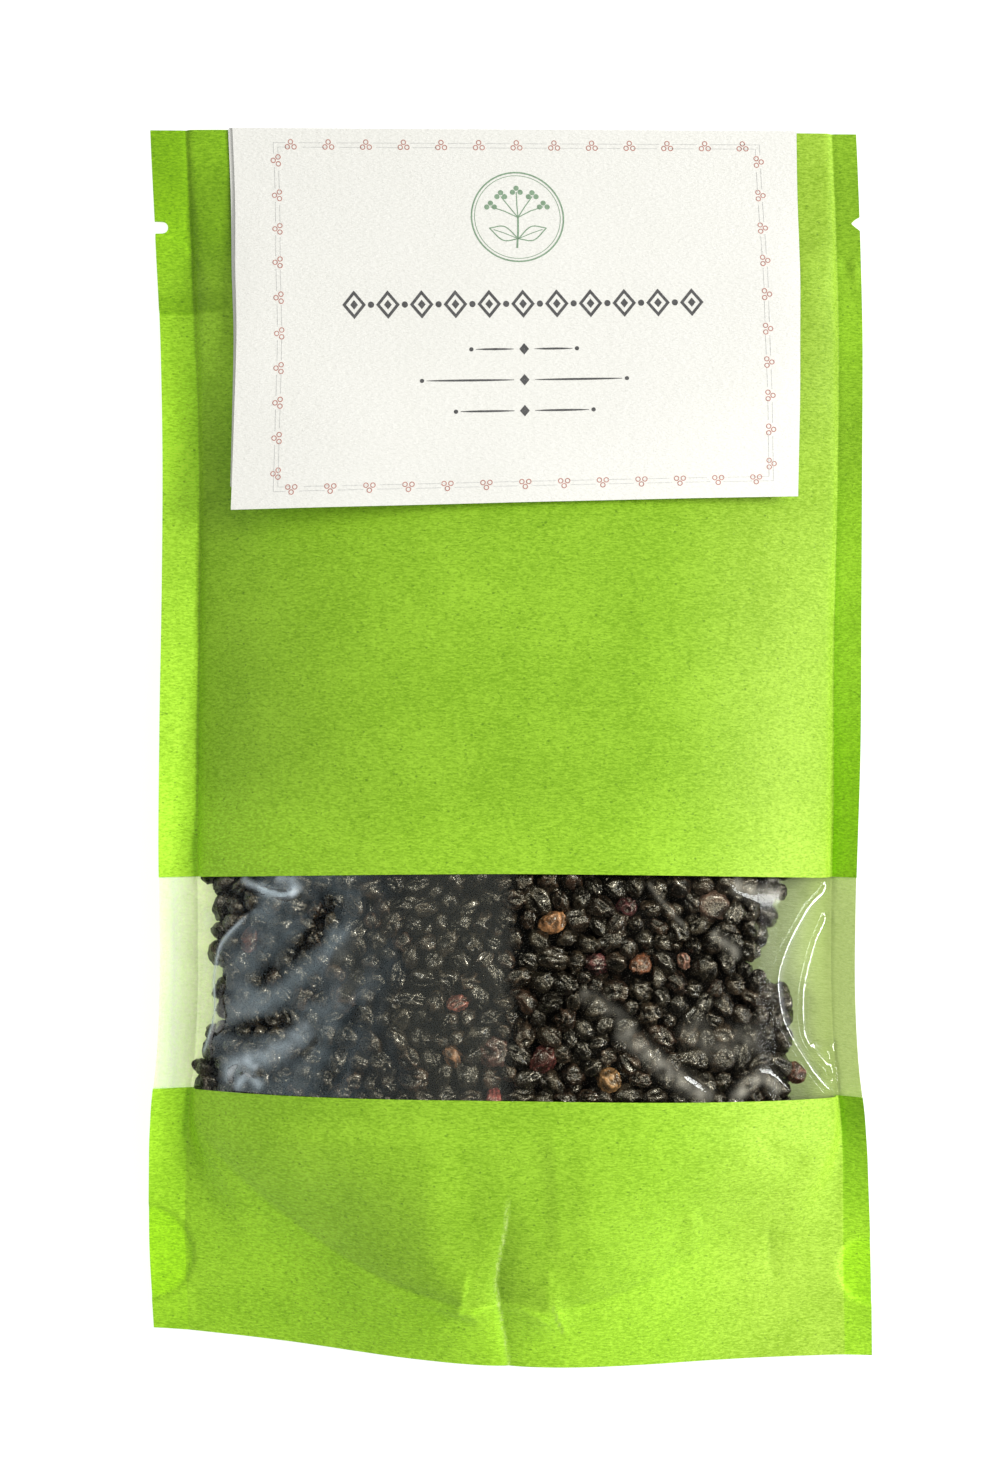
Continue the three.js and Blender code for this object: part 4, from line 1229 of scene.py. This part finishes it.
# ---- the leaflet's print, thin raised ink --------------------
class Ink:
    """Gathers flat printed strokes and makes them one piece. Points are (s, t): s from the front leaf's left
    edge and t down from its fold."""

    def __init__(self, name, tone, colour):
        self.name, self.material = name, ink_material(tone, colour)
        self.verts, self.faces, self.count = [], [], 0

    def band(self, one, other, closed):
        """A strip between two lines of points."""
        n = len(one)
        for line, lift in ((one, INK), (other, INK), (other, -INK), (one, -INK)):
            s, t = line.T
            a = np.clip(s / (LEAF_WIDTH - BEND * t / FRONT_LEAF), 0, 1)
            x, v, z = leaf_point(a, t, np.zeros(n), 1)
            self.verts.append(placed(x, v, z + lift))
        corner = self.count + np.arange(4)[:, None] * n + np.arange(n)
        for i in range(n if closed else n - 1):
            here, there = corner[:, i], corner[:, (i + 1) % n]
            self.faces += [[here[k], here[k - 3], there[k - 3], there[k]] for k in range(4)]
        if not closed:
            self.faces += [corner[::-1, 0], corner[:, -1]]
        self.count += 4 * n

    def ring(self, s, t, radius, stroke, corners=18):
        angle = np.linspace(0, 2 * np.pi, corners, endpoint=False)
        circle = np.stack([np.cos(angle), np.sin(angle)], 1)
        self.band((s, t) + circle * radius, (s, t) + circle * max(radius - stroke, 0.02), True)

    def line(self, points, width, step=2.0, taper=False):
        p = np.array(points, float)
        dense = [p[:1]]
        for a, b in zip(p[:-1], p[1:]):
            steps = max(1, int(np.hypot(*(b - a)) / step))
            dense.append(a + (b - a) * (np.arange(1, steps + 1) / steps)[:, None])
        dense = np.concatenate(dense)
        way = np.gradient(dense, axis=0)
        side = np.stack([-way[:, 1], way[:, 0]], 1) / (np.hypot(way[:, 0], way[:, 1])[:, None] + 1e-9)
        if taper:
            side *= np.sqrt(np.clip(np.sin(np.linspace(0.06, np.pi - 0.06, len(dense))), 0.05, 1))[:, None]
        self.band(dense + side * width / 2, dense - side * width / 2, False)

    def lozenge(self, s, t, wide, tall, hole=0.05):
        shape = np.array([(1, 0), (0, 1), (-1, 0), (0, -1)]) * (wide / 2, tall / 2)
        self.band((s, t) + shape, (s, t) + shape * hole, True)

    def finish(self):
        piece = make_object(self.name, np.concatenate(self.verts), self.faces, [self.material], sharp=40)
        keep(piece, "leaflet_paper")


BORDER_LEFT, BORDER_RIGHT, BORDER_TOP, BORDER_FOOT = 8.0, LEAF_WIDTH - 7.4, 2.6, 70.6
COLUMNS, ROWS = 13, 10  # rings along the border's long and short sides


def dashes(low, high, count):
    """Both ends of a border line's strokes, with gaps for the rings between them."""
    cuts = low + (high - low) / count * (np.arange(1, count) - 0.5)
    return zip([low, *(cuts + 1.3)], [*(cuts - 1.3), high])


def print_border():
    """A double rule with small triple rings along it."""
    border = Ink("leaflet_border", "grey ink", (0.52, 0.52, 0.50))
    rings = Ink("leaflet_rings", "brown ink", (0.42, 0.19, 0.155))
    for inset in (0.0, 0.85):
        left, right = BORDER_LEFT + inset, BORDER_RIGHT - inset
        top, foot = BORDER_TOP + inset, BORDER_FOOT - inset
        for start, end in dashes(left, right, COLUMNS):
            for t in (top, foot):
                border.line([(start, t), (end, t)], 0.11)
        for start, end in dashes(top, foot, ROWS):
            for s in (left, right):
                border.line([(s, start), (s, end)], 0.11)

    def motif(s, t, out_s, out_t):
        """Three small rings, the single one pointing outwards."""
        for a, b in ((0.62, 0.0), (-0.35, 0.66), (-0.35, -0.66)):
            rings.ring(s + a * out_s - b * out_t, t + a * out_t + b * out_s, 0.52, 0.17)

    for s in np.linspace(BORDER_LEFT + 3.4, BORDER_RIGHT - 3.4, COLUMNS):
        motif(s, BORDER_TOP + 0.45, 0, -1)
        motif(s, BORDER_FOOT - 0.45, 0, 1)
    for t in np.linspace(BORDER_TOP + 3.4, BORDER_FOOT - 3.4, ROWS):
        motif(BORDER_LEFT + 0.45, t, -1, 0)
        motif(BORDER_RIGHT - 0.45, t, 1, 0)
    border.finish()
    rings.finish()


def print_emblem():
    """A plain sprig of berries in a double ring."""
    emblem = Ink("leaflet_emblem", "green ink", (0.20, 0.30, 0.20))
    s, t = 55.6, 17.3
    foot = (s, t + 4.4)
    emblem.ring(s, t, 9.2, 0.30, 64)
    emblem.ring(s, t, 8.5, 0.12, 64)
    emblem.line([(s - 0.3, t + 6.3), (s, t + 3), (s + 0.1, t)], 0.35, 0.6)
    for ds, dt in ((-5.2, -2.2), (-3.1, -4.3), (0, -5.2), (3.1, -4.3), (5.2, -2.2)):
        emblem.line([(s + 0.1, t), (s + ds * 0.5, t + dt * 0.42 - 0.4), (s + ds, t + dt)], 0.2, 0.6)
        for a, b in ((0, -0.75), (-0.75, 0.05), (0.75, 0.05)):
            emblem.ring(s + ds + a, t + dt + b, 0.52, 0.5)
    for sign in (-1, 1):
        tip = (s + sign * 5.6, t + 2.2)
        for middle in ((s + sign * 2.6, t + 1.9), (s + sign * 3.0, t + 4.7)):
            emblem.line(curve_points([foot, middle, tip]), 0.22, 0.5)
        emblem.line([foot, (s + sign * 2.8, t + 3.2), (s + sign * 4.8, t + 2.5)], 0.15, 0.6)
    emblem.finish()


def print_ornament():
    """Plain bands: a row of lozenges, and tapered rules with a dot at each end."""
    bands = Ink("leaflet_ornament", "dark ink", (0.085, 0.085, 0.085))
    middle, row, pitch = 56.0, 34.6, 6.6
    for i in range(-5, 6):
        s = middle + i * pitch
        bands.lozenge(s, row, 4.6, 5.4, 1 - 2.6 * 0.55 / 4.6)
        bands.lozenge(s, row, 1.5, 1.8)
        if i < 5:
            bands.ring(s + pitch / 2, row, 0.6, 0.58)
    for half, t in ((9.4, 43.4), (19.0, 49.6), (12.4, 55.8)):
        bands.lozenge(middle, t, 1.9, 2.3)
        for sign in (-1, 1):
            bands.line([(middle + sign * 2.0, t), (middle + sign * half, t)], 0.42, 1.5, True)
            bands.ring(middle + sign * (half + 0.9), t, 0.42, 0.4)
    bands.finish()


print_border()
print_emblem()
print_ornament()

# ---- zip tracks keep their CAD shape --------------------
zip_plastic = zip_material()
for node in ("zip_groove_track", "zip_rib_track"):
    track = bpy.data.objects[node]
    track.data.materials.clear()
    track.data.materials.append(zip_plastic)

# ---- floor, light and camera --------------------
FLOOR = 3.0  # half its width; all sizes and places from here on are metres
POUCH, HEAP = (0, 0, 0.01), (0, -0.05, 0.02)  # what the lamps are aimed at


def stage_piece(name, corners, faces, material):
    mesh = bpy.data.meshes.new(name)
    mesh.from_pydata(corners, [], faces)
    mesh.materials.append(material)
    piece = bpy.data.objects.new(name, mesh)
    bpy.context.scene.collection.objects.link(piece)
    return piece


def add_floor():
    pale = Shader("pale floor", Roughness=0.9, Specular_IOR_Level=0.1, Base_Color=(0.42, 0.42, 0.42, 1),
                  Emission_Color=(1, 1, 1, 1), Emission_Strength=0.82)
    corners = [(x * FLOOR, y * FLOOR, -0.0002) for x, y in ((-1, -1), (1, -1), (1, 1), (-1, 1))]
    stage_piece("floor", corners, [(0, 1, 2, 3)], pale.material)


def add_world():
    """A plain white room, dim where a glossy surface mirrors it."""
    world = bpy.data.worlds.new("studio")
    bpy.context.scene.world = world
    world.use_nodes = True
    nodes, links = world.node_tree.nodes, world.node_tree.links
    background = nodes["Background"]
    background.inputs["Color"].default_value = (1.0, 1.0, 1.0, 1)
    path = nodes.new("ShaderNodeLightPath")
    level = nodes.new("ShaderNodeMapRange")
    level.inputs["To Min"].default_value = 0.56
    level.inputs["To Max"].default_value = 0.022
    links.new(path.outputs["Is Glossy Ray"], level.inputs["Value"])
    links.new(level.outputs["Result"], background.inputs["Strength"])


def lit(name, wanted):
    """A collection of the meshes that a lamp or a card is for."""
    group = bpy.data.collections.new(name)
    for piece in bpy.data.objects:
        if piece.type == "MESH" and wanted(piece.name):
            group.objects.link(piece)
    return group


def area_light(name, place, target, size, power, colour=(1, 1, 1), group=None):
    data = bpy.data.lights.new(name, "AREA")
    data.shape = "RECTANGLE"
    data.size, data.size_y = size
    data.energy = power
    data.color = colour
    lamp = bpy.data.objects.new(name, data)
    lamp.location = place
    lamp.rotation_euler = (Vector(target) - Vector(place)).to_track_quat("-Z", "Y").to_euler()
    lamp.light_linking.receiver_collection = group
    bpy.context.scene.collection.objects.link(lamp)
    return lamp


def reflection_card(group, stops, low, high):
    """A dim curved card over the pouch's left, seen only in the film. It runs between two angles from the
    vertical, and stops give its glow along the way."""
    reach, half, steps = 0.95, 0.9, 48
    degrees = np.linspace(low, high, steps + 1)
    arc = [(-reach * math.sin(t), reach * math.cos(t)) for t in np.radians(degrees)]
    corners = [(x, y, z) for x, z in arc for y in (-half, half)]
    faces = [(2 * i, 2 * i + 2, 2 * i + 3, 2 * i + 1) for i in range(steps)]
    s = Shader("reflection_card")
    s.tree.nodes.remove(s.surface)
    glow = s.node("Emission", {"Color": s.attribute("glow").outputs["Color"], "Strength": 1.0})
    s.put(s.output.inputs["Surface"], glow.outputs[0])
    card = stage_piece("reflection_card", corners, faces, s.material)
    angles, colours = np.array([angle for angle, _ in stops]), np.array([colour for _, colour in stops])
    channels = [np.repeat(np.interp(degrees, angles, colours[:, k]), 2) for k in range(3)]
    paint(card, "glow", *channels, 1)
    for ray in ("visible_camera", "visible_diffuse", "visible_shadow", "visible_transmission"):
        setattr(card, ray, False)
    card.light_linking.receiver_collection = group


def add_camera():
    target, away = Vector((-0.0017843, 0.0010095, 0.0)), 0.400
    turn = Euler((0.0056, 0.0047, -0.0013), "XYZ")
    camera = bpy.data.objects.new("camera", bpy.data.cameras.new("camera"))
    camera.rotation_euler = turn
    camera.location = target + turn.to_matrix() @ Vector((0, 0, away))
    camera.data.sensor_width = 36
    camera.data.lens = 49.54
    camera.data.clip_start, camera.data.clip_end = 0.01, 20
    bpy.context.scene.collection.objects.link(camera)
    bpy.context.scene.camera = camera
    bpy.context.scene.view_settings.view_transform = "Standard"
    bpy.context.scene.view_settings.look = "None"


add_floor()
add_world()
only_film = lit("mirrored in the film", lambda name: name == "film_strip")
reflection_card(only_film, (
    (0, (0.46, 0.46, 0.38)), (14, (0.48, 0.48, 0.40)), (20, (0.34, 0.36, 0.33)), (28, (0.52, 0.61, 0.64)),
    (34, (0.85, 1.02, 1.10)), (41, (0.62, 0.76, 0.82)), (50, (0.95, 1.16, 1.25)), (60, (0.80, 0.96, 1.03)),
    (72, (0.85, 1.0, 1.06)), (86, (0.9, 1.05, 1.1)),
), -0.25, 86)
key = area_light("key", (1.05, 0.22, 0.75), POUCH, (0.6, 0.6), 13.9, (1.0, 0.985, 0.96))
key.visible_glossy = False
# Three small lamps that light the berries alone, for the glints on their folds, and two that light the back.
berries = lit("lit berries", lambda name: name.startswith("berries_"))
back = lit("lit back", lambda name: name == "back_paper")
for name, place, size, power, colour, group in (
    ("glint_right", (0.50, 0.14, 0.68), 0.14, 7.0, (1.0, 0.93, 0.80), berries),
    ("glint_left", (-0.40, 0.30, 0.70), 0.14, 2.6, (1.0, 0.97, 0.88), berries),
    ("glint_top", (0.10, 0.62, 0.70), 0.14, 2.3, (1.0, 0.94, 0.82), berries),
    ("back_left", (-0.55, 0.05, 0.70), 0.30, 5.4, (1.0, 1.0, 0.94), back),
    ("back_right", (0.40, 0.10, 0.80), 0.30, 0.4, (1.0, 1.0, 0.96), back),
):
    area_light(name, place, HEAP, (size, size), power, colour, group)
# A long low lamp on the right: its sheen lies on the paper, and a broader one is mirrored in the film alone.
dull = lit("all but the film", lambda name: name != "film_strip")
for name, breadth, power, group in (("sheen", 0.12, 8.0, dull), ("gleam", 0.34, 24.0, only_film)):
    area_light(name, (1.30, 0.05, 0.62), POUCH, (1.1, breadth), power, group=group)
add_camera()
